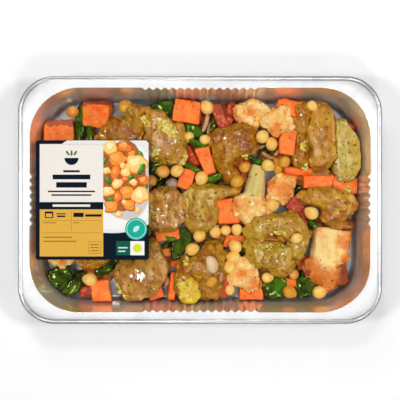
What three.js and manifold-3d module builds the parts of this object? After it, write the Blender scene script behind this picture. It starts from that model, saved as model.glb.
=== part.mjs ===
// A ready-to-bake meal in a foil tray: marinated chicken, cauliflower, sweet potato and
// green pods lie in an aluminium tray, under a clear lidding film with a paper label on it.
// Millimetres, +Z up. The origin is the middle of the tray's underside, +X runs along the
// tray, and the label is on the -X half.
import * as THREE from "three";
import { mergeVertices } from "three/addons/utils/BufferGeometryUtils.js";
import Module from "manifold-3d";

const wasm = await Module();
wasm.setup();

// ---- Driving dimensions ----------------------------------------------------------------

const RIM_LENGTH = 310; // over the rolled bead
const RIM_WIDTH = 211;
const RIM_CORNER = 31;
const TRAY_HEIGHT = 42;
const FOIL = 0.5;
const BEAD_RADIUS = 1.5;
const FLANGE = 10; // from the outside of the bead to the mouth
const MOUTH_CORNER = 42;
const WALL_LEAN = 7; // how far the wall draws in from the mouth to the foot
const FOOT_HEIGHT = 5; // where the wall turns into the floor
const FOOT_RUN = 4;

const FLUTE_PITCH = 6.65;
const FLUTE_DEPTH = 1.9;
const LONG_SIDE_FLUTES = 15;
const SHORT_SIDE_FLUTES = 7;
const CORNER_STEPS = 5;

const FILM_MARGIN = 3.6; // the film stops short of the bead
const FILM_THICKNESS = 0.3;
const LABEL_LENGTH = 96;
const LABEL_WIDTH = 101.5;
const LABEL_CORNER = 2.5;
const LABEL_THICKNESS = 0.3;
const LABEL_CENTRE = [-91.5, 0];

const LUMP_RADIUS = 0.53; // of a flat-faced ball that takes up as much room as one 1 across
const FINEST = 0.3; // details smaller than this are left out
const CURDS = 4; // on each floret
const BEAK = 0.08; // how far a chickpea's beak stands out, as a share of its size
const CLEARANCE = 0.35; // between neighbouring pieces of food
const WALL_CLEARANCE = 2.4; // between the food and the smooth wall, past the flutes
const HEADROOM = 2; // between the food and the film

// ---- Materials -------------------------------------------------------------------------

function material(color, roughness, metalness = 0) {
  return new THREE.MeshStandardMaterial({ color, roughness, metalness });
}

const MATERIALS = {
  foil: material(0xd3d5d8, 0.25, 1),
  film: new THREE.MeshStandardMaterial({
    color: 0xffffff,
    roughness: 0.05,
    transparent: true,
    opacity: 0.15,
  }),
  label: material(0x10213a, 0.45),
  chickpea: material(0xf0b766, 0.4),
  chicken: material(0xa9742a, 0.3),
  cauliflower: material(0xe8ab5c, 0.45),
  sweet_potato: material(0xf56f22, 0.45),
  pod: material(0x33520c, 0.35),
};

// ---- Solids and geometry ---------------------------------------------------------------

function solidOf(geometry) {
  const bare = new THREE.BufferGeometry();
  bare.setAttribute("position", geometry.getAttribute("position").clone());
  if (geometry.index) bare.setIndex(geometry.index.clone());
  const merged = mergeVertices(bare, 1e-3);
  return new wasm.Manifold(
    new wasm.Mesh({
      numProp: 3,
      vertProperties: merged.attributes.position.array,
      triVerts: new Uint32Array(merged.index.array),
    }),
  );
}

function geometryOf(solid) {
  const mesh = solid.getMesh();
  return new THREE.BufferGeometry()
    .setAttribute("position", new THREE.BufferAttribute(mesh.vertProperties, 3))
    .setIndex(new THREE.BufferAttribute(mesh.triVerts, 1))
    .toNonIndexed();
}

function radians(degrees) {
  return THREE.MathUtils.degToRad(degrees);
}

// Puts a geometry made round the origin at its place: turned about Z, after leaning about X
// and Y.
function placed(geometry, [x, y, z], turn = 0, [leanX, leanY] = [0, 0]) {
  return geometry
    .rotateX(radians(leanX))
    .rotateY(radians(leanY))
    .rotateZ(radians(turn))
    .translate(x, y, z);
}

// A repeatable number from -1 to 1 for each seed, for uneven hand-cut food.
function uneven(seed) {
  const s = Math.sin(seed * 127.1 + 11.7) * 43758.5453;
  return 2 * (s - Math.floor(s)) - 1;
}

// ---- The tray --------------------------------------------------------------------------

// Where the fluted stretch of a side has its points: two for each flute, from its start to
// its end, as [place along the side, share of the flute's depth].
function fluteStations(count) {
  const stations = [];
  for (let i = 0; i <= 2 * count; i++) {
    stations.push([(i / 2 - count / 2) * FLUTE_PITCH, i % 2]);
  }
  return stations;
}

// One closed ring round the tray: a rounded rectangle whose sides dip inwards at the flutes.
function ring({ halfLength, halfWidth, corner, z, flute = 0 }) {
  const long = fluteStations(LONG_SIDE_FLUTES);
  const short = fluteStations(SHORT_SIDE_FLUTES);
  const points = [];
  for (let side = 0; side < 4; side++) {
    const isLong = side % 2 === 1;
    const [along, out] = isLong ? [halfLength, halfWidth] : [halfWidth, halfLength];
    const spin = new THREE.Matrix4().makeRotationZ((side * Math.PI) / 2);
    const local = (isLong ? long : short).map(([s, share]) => [
      out - share * flute,
      s,
    ]);
    for (let k = 0; k <= CORNER_STEPS; k++) {
      const a = ((k / CORNER_STEPS) * Math.PI) / 2;
      local.push([
        out - corner + corner * Math.cos(a),
        along - corner + corner * Math.sin(a),
      ]);
    }
    for (const [px, py] of local) {
      points.push(new THREE.Vector3(px, py, z).applyMatrix4(spin));
    }
  }
  return points;
}

// A closed body through a stack of rings, with a flat face over the first and the last.
function loft(rings) {
  const count = rings[0].length;
  const positions = rings.flat().flatMap((p) => [p.x, p.y, p.z]);
  const index = [];
  for (let r = 0; r + 1 < rings.length; r++) {
    for (let i = 0; i < count; i++) {
      const a = r * count + i;
      const b = r * count + ((i + 1) % count);
      index.push(a, b, a + count, b, b + count, a + count);
    }
  }
  const cap = (r, flip) => {
    const centre = positions.length / 3;
    positions.push(0, 0, rings[r][0].z);
    for (let i = 0; i < count; i++) {
      const a = r * count + i;
      const b = r * count + ((i + 1) % count);
      index.push(...(flip ? [b, a, centre] : [a, b, centre]));
    }
  };
  cap(0, true);
  cap(rings.length - 1, false);
  return new THREE.BufferGeometry()
    .setAttribute("position", new THREE.Float32BufferAttribute(positions, 3))
    .setIndex(index);
}

// A ring that lies a given distance inside the bead's outside.
function ringAt(inset, z, corner, flute = 0) {
  return ring({
    halfLength: RIM_LENGTH / 2 - inset,
    halfWidth: RIM_WIDTH / 2 - inset,
    corner,
    z,
    flute,
  });
}

// The rings of one face of the wall, from the floor up to the mouth, moved in by offset.
function wallRings(offset, floorZ, mouthZ, fluteDepth) {
  const mouth = FLANGE + offset;
  const foot = mouth + WALL_LEAN;
  const footCorner = MOUTH_CORNER - WALL_LEAN + 2;
  return [
    ringAt(foot + FOOT_RUN, floorZ, footCorner - FOOT_RUN),
    ringAt(foot + 0.25 * FOOT_RUN, floorZ + 0.25 * FOOT_HEIGHT, footCorner - 1),
    ringAt(foot, floorZ + FOOT_HEIGHT, footCorner, 0.5 * fluteDepth),
    ringAt(mouth, mouthZ, MOUTH_CORNER, fluteDepth),
  ];
}

// The rolled bead, from the flange's top round its outside to the flange's underside.
function beadRings() {
  const centreInset = BEAD_RADIUS;
  const centreZ = TRAY_HEIGHT - BEAD_RADIUS;
  return [90, 45, 0, -90].map((degrees) => {
    const a = radians(degrees);
    const out = BEAD_RADIUS * Math.cos(a);
    return ringAt(
      centreInset - out,
      centreZ + BEAD_RADIUS * Math.sin(a),
      RIM_CORNER - centreInset + out,
    );
  });
}

function trayGeometry() {
  const inside = wallRings(0, FOIL, TRAY_HEIGHT, FLUTE_DEPTH);
  const outside = wallRings(-FOIL, 0, TRAY_HEIGHT - FOIL, FLUTE_DEPTH).reverse();
  const flangeUnderside = ringAt(
    2 * BEAD_RADIUS,
    TRAY_HEIGHT - FOIL,
    RIM_CORNER - 2 * BEAD_RADIUS,
  );
  const rings = [...inside, ...beadRings(), flangeUnderside, ...outside];
  return loft(rings.reverse());
}

// The room inside the tray that food can take up.
function roomSolid() {
  return solidOf(
    loft(wallRings(WALL_CLEARANCE, FOIL + CLEARANCE, TRAY_HEIGHT - HEADROOM, 0)),
  );
}

// ---- The film and the label ------------------------------------------------------------

function roundedPlate(length, width, corner, thickness) {
  const [l, w] = [length / 2, width / 2];
  const shape = new THREE.Shape();
  shape.absarc(l - corner, w - corner, corner, 0, Math.PI / 2);
  shape.absarc(-l + corner, w - corner, corner, Math.PI / 2, Math.PI);
  shape.absarc(-l + corner, -w + corner, corner, Math.PI, 1.5 * Math.PI);
  shape.absarc(l - corner, -w + corner, corner, 1.5 * Math.PI, 2 * Math.PI);
  return new THREE.ExtrudeGeometry(shape, {
    depth: thickness,
    bevelEnabled: false,
    curveSegments: CORNER_STEPS,
  });
}

function filmGeometry() {
  return roundedPlate(
    RIM_LENGTH - 2 * FILM_MARGIN,
    RIM_WIDTH - 2 * FILM_MARGIN,
    RIM_CORNER - FILM_MARGIN,
    FILM_THICKNESS,
  ).translate(0, 0, TRAY_HEIGHT);
}

function labelGeometry() {
  return roundedPlate(LABEL_LENGTH, LABEL_WIDTH, LABEL_CORNER, LABEL_THICKNESS).translate(
    ...LABEL_CENTRE,
    TRAY_HEIGHT + FILM_THICKNESS,
  );
}

// ---- The food --------------------------------------------------------------------------

// Each kind of food has a function that makes one piece. margin makes the piece larger by
// that much on every side, which gives the room its neighbours have to leave.

function lump(size, margin) {
  const full = size.map((across) => across + 2 * margin);
  return new THREE.DodecahedronGeometry(LUMP_RADIUS, 0).scale(...full);
}

function joined(geometries) {
  return geometries.map(solidOf).reduce((all, next) => all.add(next));
}

// A knife-cut block, with its corners a little off square. taper narrows its +X end.
function block({ at, size, turn, lean, taper = 1 }, margin) {
  const [length, width, height] = size.map((across) => across + 2 * margin);
  const box = new THREE.BoxGeometry(1, 1, 1);
  const points = box.attributes.position;
  for (let i = 0; i < points.count; i++) {
    const [sx, sy, sz] = [points.getX(i), points.getY(i), points.getZ(i)];
    const seed = at[0] + (sx > 0) + 2 * (sy > 0) + 4 * (sz > 0);
    const narrow = sx > 0 ? taper : 1;
    points.setXYZ(
      i,
      length * (sx + 0.07 * uneven(seed)),
      width * narrow * (sy + 0.07 * uneven(seed + 500)),
      height * (sz + 0.05 * uneven(seed + 900)),
    );
  }
  return solidOf(placed(box, at, turn, lean));
}

// A folded piece of meat: rounded lobes, each drawn across to the next one.
function meat({ lobes }, margin) {
  const balls = lobes.map(([at, size, turn = 0]) => {
    return solidOf(placed(lump(size, margin), at, turn));
  });
  return balls
    .slice(1)
    .map((next, i) => wasm.Manifold.hull([balls[i], next]))
    .reduce((all, bridge) => all.add(bridge))
    .simplify(FINEST);
}

// A floret: round curds over an oval crown, with a tapered stalk where it shows one.
function floret({ at: [x, y, z], crown, turn = 0, stalk }, margin) {
  const [length, width, height] = crown;
  const core = lump([0.86 * length, 0.86 * width, 0.92 * height], margin);
  const parts = [placed(core, [x, y, z - 0.04 * height], turn)];
  for (let k = 0; k < CURDS; k++) {
    const angle = radians((360 / CURDS) * (k + 0.3 * uneven(k + length)) + turn);
    const size = 0.46 + 0.08 * uneven(k + width);
    parts.push(
      placed(
        lump([length * size, width * size, height * (size + 0.12)], margin),
        [
          x + 0.28 * length * Math.cos(angle),
          y + 0.28 * width * Math.sin(angle),
          z + 0.1 * height,
        ],
        turn + 40 * k,
      ),
    );
  }
  if (stalk) {
    const stem = new THREE.CylinderGeometry(
      stalk.to / 2 + margin,
      stalk.from / 2 + margin,
      stalk.length + 2 * margin,
      7,
    )
      .rotateZ(-Math.PI / 2)
      .scale(1, 1, stalk.flat ?? 1)
      .translate(stalk.length / 2, 0, 0);
    parts.push(placed(stem, [x, y, z], stalk.turn));
  }
  return joined(parts).simplify(FINEST);
}

// A flat pod, pointed at its ends, or cut straight across where cut says so.
function pod({ at, size, turn, lean, cut = 0 }, margin) {
  const [length, width, thickness] = size.map((across) => across + 2 * margin);
  const end = length / 2;
  const bulge = width / 2;
  const shape = new THREE.Shape();
  shape.moveTo(-end, 0);
  shape.bezierCurveTo(-0.7 * end, -1.25 * bulge, 0.7 * end, -1.25 * bulge, end, -cut * bulge);
  if (cut) shape.lineTo(end, cut * bulge);
  shape.bezierCurveTo(0.7 * end, 1.25 * bulge, -0.7 * end, 1.25 * bulge, -end, 0);
  const bevel = Math.min(1.5, thickness / 4);
  const geometry = new THREE.ExtrudeGeometry(shape, {
    depth: thickness - 2 * bevel,
    bevelThickness: bevel,
    bevelSize: bevel,
    bevelOffset: -bevel,
    bevelSegments: 1,
    curveSegments: 4,
  }).translate(0, 0, bevel - thickness / 2);
  return solidOf(placed(geometry, at, turn, lean));
}

// A chickpea: a ball drawn out into a beak towards its turn.
function chickpea({ at, size, turn = 0, lean = 0 }, margin) {
  const body = new THREE.IcosahedronGeometry(size / 2 + margin, 1);
  const points = body.attributes.position;
  for (let i = 0; i < points.count; i++) {
    const x = points.getX(i);
    if (x > 0.41 * size) points.setX(i, x + BEAK * size);
  }
  return solidOf(placed(body, at, turn, [0, lean]));
}

// Firm pieces keep their form, so they are laid first, those on top before those below.
const CHICKPEAS = {
  chickpea_back_middle: { at: [54, 54.5, 27], size: 12.5, turn: 60, lean: 30 },
  chickpea_back_right: { at: [62, 47.5, 26], size: 11, turn: 90 },
  chickpea_right: { at: [73.5, 33, 26], size: 11, turn: 200, lean: 20 },
  chickpea_right_middle: { at: [58.5, 30, 25], size: 11, turn: -30 },
  chickpea_right_front: { at: [97, -11.5, 26], size: 12, turn: 150 },
  chickpea_front_right: { at: [82.5, -33, 32], size: 10, turn: 20 },
  chickpea_by_label: { at: [-31.5, 24.5, 26], size: 11.5, turn: 180 },
  chickpea_middle: { at: [-20.5, 25, 25], size: 11, turn: 30 },
};

const FLORETS = {
  cauliflower_stained_front: { at: [-9, -79, 22], crown: [21, 26.5, 18], turn: -20 },
  cauliflower_middle: {
    at: [45, -5.5, 19],
    crown: [40, 27.5, 24],
    turn: -8,
    stalk: { length: 36, from: 22, to: 12, turn: 80 },
  },
  cauliflower_back_left: { at: [46, 76, 14], crown: [40, 26.5, 26], turn: 5 },
  cauliflower_back_right: { at: [67.5, 69, 18], crown: [33.5, 27.5, 26], turn: -10 },
  cauliflower_right_middle: { at: [70.5, 9.5, 14], crown: [30.5, 30.5, 25], turn: 30 },
  cauliflower_corner: {
    at: [111, -60.5, 15],
    crown: [46, 40, 25],
    turn: -25,
    stalk: { length: 35, from: 34, to: 36, turn: 81, flat: 0.62 },
  },
  cauliflower_front_middle: { at: [39, -65, 14], crown: [32.5, 34.5, 24], turn: 30 },
  cauliflower_front_left: { at: [-122.5, -50.5, 15], crown: [25, 18, 22], turn: 0 },
  cauliflower_under_label_back: { at: [-94, 34, 15], crown: [31.5, 27.5, 26], turn: 15 },
};

const BLOCKS = {
  sweet_potato_back_middle: { at: [-11, 77, 13], size: [22, 20, 20], turn: -8 },
  sweet_potato_back_left: {
    at: [-90.5, 76, 13],
    size: [25, 21, 17],
    turn: -5,
    lean: [20, 0],
  },
  sweet_potato_left: { at: [-122.5, 58.5, 12], size: [24, 22, 20], turn: -3 },
  sweet_potato_slab_back: { at: [19.5, 74, 12], size: [22, 10.5, 20], turn: -70, lean: [18, 0] },
  sweet_potato_back_right: { at: [77, 81, 12], size: [21, 14.5, 20], turn: -14, taper: 0.9 },
  sweet_potato_right_back: { at: [76.5, 50, 12], size: [14.5, 21, 20], turn: -4 },
  sweet_potato_right: { at: [102.5, 16, 12], size: [26.5, 12.5, 17], turn: 0 },
  sweet_potato_right_wall: { at: [127.5, 13.5, 11], size: [22, 13.5, 15], turn: -8 },
  sweet_potato_right_middle: { at: [85.5, -7.5, 9], size: [14.5, 23, 14], turn: 28 },
  sweet_potato_centre: { at: [23.5, -10, 13], size: [18, 21, 21], turn: 10 },
  sweet_potato_middle: { at: [-12, 18, 12], size: [13.5, 18, 18], turn: -15 },
  sweet_potato_upright: { at: [5.5, 34, 14], size: [26.5, 11.5, 18], turn: -71, taper: 0.85 },
  sweet_potato_middle_left: { at: [-29, -30, 11], size: [22, 10.5, 16], turn: 3 },
  sweet_potato_front_left: { at: [-86.5, -80, 12], size: [16, 21, 18], turn: 10 },
  sweet_potato_front_middle: { at: [44.5, -78.5, 9], size: [21, 18, 13], turn: -3 },
  sweet_potato_under_label_right: { at: [-63, 27, 12], size: [22, 20, 19], turn: 20 },
};

const PODS = {
  pod_back_left: { at: [-105, 66, 13], size: [42, 13.5, 8], turn: 83, lean: [-20, 0] },
  pod_back_middle: { at: [-32.5, 81, 14], size: [32.5, 14.5, 10], turn: 8, lean: [15, 0] },
  pod_middle_back: { at: [-4.5, 60.5, 13], size: [31.5, 13.5, 8], turn: -44, lean: [10, 0] },
  pod_middle_left: { at: [-37.5, 25, 9], size: [29.5, 21, 8], turn: 15 },
  pod_front_middle: { at: [-17, -39.5, 12], size: [31.5, 17, 9], turn: 65, cut: 0.4 },
  pod_front_left: { at: [-123.5, -68, 12], size: [27.5, 23, 10], turn: 10, lean: [10, 0] },
  pod_front_left_edge: { at: [-111, -73, 14], size: [33.5, 11.5, 9], turn: 47, lean: [30, 0] },
  pod_front_right: { at: [64, -77, 10], size: [25, 20, 13], turn: 0, cut: 0.7 },
  pod_front_corner: { at: [93, -75, 10], size: [27.5, 20, 12], turn: 62, cut: 0.5 },
};

// Chicken is soft, so it is laid last and gives way to what it lies on. Each lobe has its
// middle, its length, width and height, and its turn.
const MEATS = {
  chicken_left_back: {
    lobes: [
      [[-72.5, 62.5, 17], [24, 21.5, 24]],
      [[-73.5, 52.5, 16], [36.5, 24, 24]],
      [[-58, 51.5, 15], [21.5, 19.5, 22]],
      [[-55, 64, 18], [13, 24, 20], 20],
      [[-61, 77, 17], [11, 15, 18], 25],
      [[-47, 79, 15], [21.5, 8.5, 14], -10],
    ],
  },
  chicken_by_label: {
    lobes: [
      [[-40, 73, 16], [29, 15, 22], -12],
      [[-36.5, 59.5, 18], [32.5, 24, 26]],
      [[-31.5, 45.5, 18], [42, 28, 27], -8],
      [[-22.5, 35, 15], [24, 15, 22]],
      [[-18.5, 59.5, 16], [14, 21.5, 22]],
    ],
  },
  chicken_big_back: {
    lobes: [
      [[12, 51.5, 16], [19.5, 16, 22]],
      [[27.5, 55.5, 19], [36.5, 21.5, 26], 10],
      [[41, 57.5, 18], [21.5, 19.5, 24]],
      [[39, 46.5, 17], [26, 18.5, 24]],
      [[22.5, 43.5, 18], [26, 24, 26]],
      [[20.5, 29, 15], [16, 19.5, 22]],
      [[28.5, 19, 13], [17.5, 14, 18]],
    ],
  },
  chicken_corner_left: {
    lobes: [
      [[90, 76, 17], [19.5, 21.5, 25]],
      [[88.5, 57.5, 15], [16, 26, 24]],
      [[88.5, 36, 14], [19.5, 19.5, 22]],
    ],
  },
  chicken_corner_middle: {
    lobes: [
      [[105, 76, 19], [22.5, 21.5, 26]],
      [[105, 59.5, 20], [27, 28, 29]],
      [[110, 43.5, 19], [27, 26, 28]],
      [[105, 33, 15], [24, 15, 22]],
    ],
  },
  chicken_corner_right: {
    lobes: [
      [[121.5, 62.5, 17], [18.5, 18.5, 24]],
      [[125.5, 49.5, 20], [28, 24, 27]],
      [[128.5, 34, 20], [28, 26, 27]],
      [[126.5, 21, 16], [20.5, 15, 22]],
    ],
  },
  chicken_right: {
    lobes: [
      [[92, 3.5, 16], [18.5, 12, 20]],
      [[108, 2.5, 19], [30, 19.5, 27]],
      [[124.5, -4.5, 19], [27, 25, 27]],
      [[116.5, -14, 16], [28, 16, 22]],
    ],
  },
  chicken_band_right: {
    lobes: [
      [[45, -27, 16], [17.5, 19.5, 22]],
      [[59, -20, 19], [30, 19.5, 25]],
      [[76.5, -20, 20], [28, 20.5, 26]],
      [[87.5, -31, 19], [17.5, 26, 25]],
      [[81.5, -46.5, 16], [19.5, 19.5, 22]],
    ],
  },
  chicken_front_right: {
    lobes: [
      [[45, -38, 15], [14, 15, 20]],
      [[50, -48.5, 18], [19.5, 21.5, 24]],
      [[66.5, -49.5, 19], [36.5, 26, 26]],
      [[69.5, -61.5, 16], [21.5, 14, 20]],
    ],
  },
  chicken_centre: {
    lobes: [
      [[29.5, 7.5, 16], [14, 7.5, 16]],
      [[14.5, 6.5, 18], [19.5, 13, 22]],
      [[-2, 4.5, 19], [27, 20.5, 27]],
      [[2, -8.5, 19], [28, 24, 27]],
      [[0, -20, 17], [30, 18.5, 24]],
    ],
  },
  chicken_glossy: {
    lobes: [
      [[-30.5, 0.5, 19], [34.5, 22.5, 27]],
      [[-27.5, -16, 19], [32.5, 25, 27]],
      [[-47, -7.5, 16], [17.5, 34.5, 22]],
    ],
  },
  chicken_large_front: {
    lobes: [
      [[-41, -42.5, 16], [13, 21.5, 22]],
      [[-44, -58.5, 20], [34.5, 32.5, 28]],
      [[-47, -69, 20], [34.5, 32.5, 28]],
      [[-61, -61, 18], [28, 28, 26]],
      [[-58, -80, 16], [26, 20.5, 22]],
    ],
  },
  chicken_folded_front: {
    lobes: [
      [[-12, -75, 16], [24, 30, 24]],
      [[-10, -57.5, 17], [21.5, 21.5, 24]],
      [[9, -62.5, 18], [28, 28, 26]],
      [[7, -81, 15], [26, 17.5, 22]],
      [[9, -60.5, 17], [24, 24, 24]],
      [[11, -45.5, 17], [22.5, 19.5, 25]],
    ],
  },
  chicken_under_label_front: {
    lobes: [
      [[-97, -45.5, 16], [36.5, 30, 26], 10],
      [[-75.5, -32, 16], [32.5, 36.5, 26]],
      [[-63, -16, 15], [21.5, 26, 24]],
    ],
  },
  chicken_under_label_middle: {
    lobes: [
      [[-124.5, 6.5, 16], [26, 36.5, 26]],
      [[-100, 6.5, 18], [32.5, 34.5, 28]],
      [[-75.5, 6.5, 16], [30, 28, 26]],
    ],
  },
};

// ---- Laying the tray -------------------------------------------------------------------

// Whether two solids' boxes meet.
function near(one, other) {
  const [a, b] = [one.boundingBox(), other.boundingBox()];
  return a.min.every((low, i) => low < b.max[i] && b.min[i] < a.max[i]);
}

function largestBody(solid) {
  return solid
    .decompose()
    .reduce((best, next) => (next.volume() > best.volume() ? next : best));
}

// Lays the pieces one after another: each is cut back from the tray and from those already
// there.
function laidFood(kinds) {
  const room = roomSolid();
  const laid = [];
  for (const { make, pieces, look } of kinds) {
    for (const [name, dimensions] of Object.entries(pieces)) {
      let solid = make(dimensions, 0).intersect(room);
      for (const other of laid) {
        if (near(solid, other.surroundings)) solid = solid.subtract(other.surroundings);
      }
      const surroundings = make(dimensions, CLEARANCE);
      laid.push({ name, look, solid: largestBody(solid), surroundings });
    }
  }
  return laid;
}

function mesh(name, geometry, look) {
  const made = new THREE.Mesh(geometry, look);
  made.name = name;
  return made;
}

function mealInTray() {
  const group = new THREE.Group();
  group.add(
    mesh("foil_tray", trayGeometry(), MATERIALS.foil),
    mesh("lidding_film", filmGeometry(), MATERIALS.film),
    mesh("label", labelGeometry(), MATERIALS.label),
  );
  const food = laidFood([
    { make: chickpea, pieces: CHICKPEAS, look: MATERIALS.chickpea },
    { make: floret, pieces: FLORETS, look: MATERIALS.cauliflower },
    { make: block, pieces: BLOCKS, look: MATERIALS.sweet_potato },
    { make: pod, pieces: PODS, look: MATERIALS.pod },
    { make: meat, pieces: MEATS, look: MATERIALS.chicken },
  ]);
  for (const { name, solid, look } of food) {
    group.add(mesh(name, geometryOf(solid), look));
  }
  return group;
}

export default mealInTray();
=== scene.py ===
"""Looks of a ready-to-bake meal: a foil tray of raw marinated chicken, cauliflower, sweet
potato, green pods and chickpeas, under a clear lidding film with a printed paper label.

Metres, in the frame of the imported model: +Z up, the tray's underside at z = 0, the label on
the -X half. Sizes in the code are millimetres, turned into metres by MM. Colours are display
colours, 0 to 255 a channel, except the few that blend() is given directly.
"""

import itertools
import math
import random

import bmesh
import bpy
from mathutils import Euler, Matrix, Vector, noise
from mathutils.bvhtree import BVHTree


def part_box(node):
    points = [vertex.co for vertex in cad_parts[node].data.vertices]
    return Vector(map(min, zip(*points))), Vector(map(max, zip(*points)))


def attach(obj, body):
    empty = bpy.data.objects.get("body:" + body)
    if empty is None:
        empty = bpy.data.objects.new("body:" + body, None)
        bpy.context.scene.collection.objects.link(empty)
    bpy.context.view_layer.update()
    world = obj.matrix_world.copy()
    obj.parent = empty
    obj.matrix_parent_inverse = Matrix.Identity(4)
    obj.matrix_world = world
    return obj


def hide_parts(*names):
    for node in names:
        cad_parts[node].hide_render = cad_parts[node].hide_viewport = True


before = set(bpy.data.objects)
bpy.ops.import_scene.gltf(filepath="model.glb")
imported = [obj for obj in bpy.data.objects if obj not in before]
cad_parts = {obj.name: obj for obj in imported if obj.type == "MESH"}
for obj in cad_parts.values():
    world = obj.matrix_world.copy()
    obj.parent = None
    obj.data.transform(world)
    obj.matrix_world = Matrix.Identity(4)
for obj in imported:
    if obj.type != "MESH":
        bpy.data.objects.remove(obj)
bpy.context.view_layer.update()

NOISE_SEED = 3  # without a seed, noise_vector differs from run to run
noise.seed_set(NOISE_SEED)

MM = 0.001
tray_low, tray_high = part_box("foil_tray")
RIM_LENGTH = (tray_high[0] - tray_low[0]) / MM
RIM_WIDTH = (tray_high[1] - tray_low[1]) / MM
RIM_Z = tray_high[2] / MM

# The tray, as built in the CAD model.
RIM_CORNER = 31
FOIL = 0.5
BEAD_RADIUS = 1.5
FLANGE = 10
MOUTH_CORNER = 42
WALL_LEAN = 7
WALL_FLARE = 1.5  # the wall leans more towards its mouth
FOOT_HEIGHT = 5
FOOT_RUN = 4
FLUTE_PITCH = 6.65
FLUTE_DEPTH = 1.9
FLUTE_AT_FOOT = 0.42  # share of the depth that a flute has where the wall begins
LIP = 1.4  # height of the rounded edge between wall and flange
LIP_REACH = 0.4
LIP_BACK = 0.6
LONG_SIDE_FLUTES = 15
SHORT_SIDE_FLUTES = 7

# Steps of the tray's mesh.
FOOT_RINGS = 7  # rings of points round the curve between floor and wall
WALL_RINGS = 12
STEPS_PER_FLUTE = 8
CORNER_STEPS = 14

# The groove pressed round the floor: (how far in from its outer edge, height).
GROOVE_FROM_FOOT = 19
GROOVE_CORNER = 30
GROOVE = ((4.5, 0.0), (2.2, 0.0), (1.4, 0.35), (0.7, 0.55), (0.0, 0.35), (-0.8, 0.0))

# Clearances that keep the food inside the tray.
ABOVE_FLOOR = 0.15
BELOW_RIM = 1
OFF_FLUTES = 0.4

# Film and label.
FILM_CORNER = 27
FILM_HEIGHTS = (0.04, 0.1)  # its underside and top, above the flange
LABEL_CORNER = 2.5
PAPER_HEIGHTS = (0.02, 0.1)  # underside and top of the paper, above the film
INK = 0.008  # rise of each layer of ink
PICTURE_LEFT = 57.3
PANEL_LEFT = 3.3

# Camera: straight above the middle of the tray.
CAMERA_HEIGHT = 880  # above the rim
VIEW_WIDTH = 340  # at the rim
SENSOR_WIDTH = 36


# ---- Materials ---------------------------------------------------------------------------


def srgb(red, green, blue):
    """A display colour, 0 to 255 a channel, as the linear colour that shaders take."""

    def linear(channel):
        share = channel / 255
        if share <= 0.04045:
            return share / 12.92
        return ((share + 0.055) / 1.055) ** 2.4

    return (linear(red), linear(green), linear(blue), 1.0)


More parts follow.
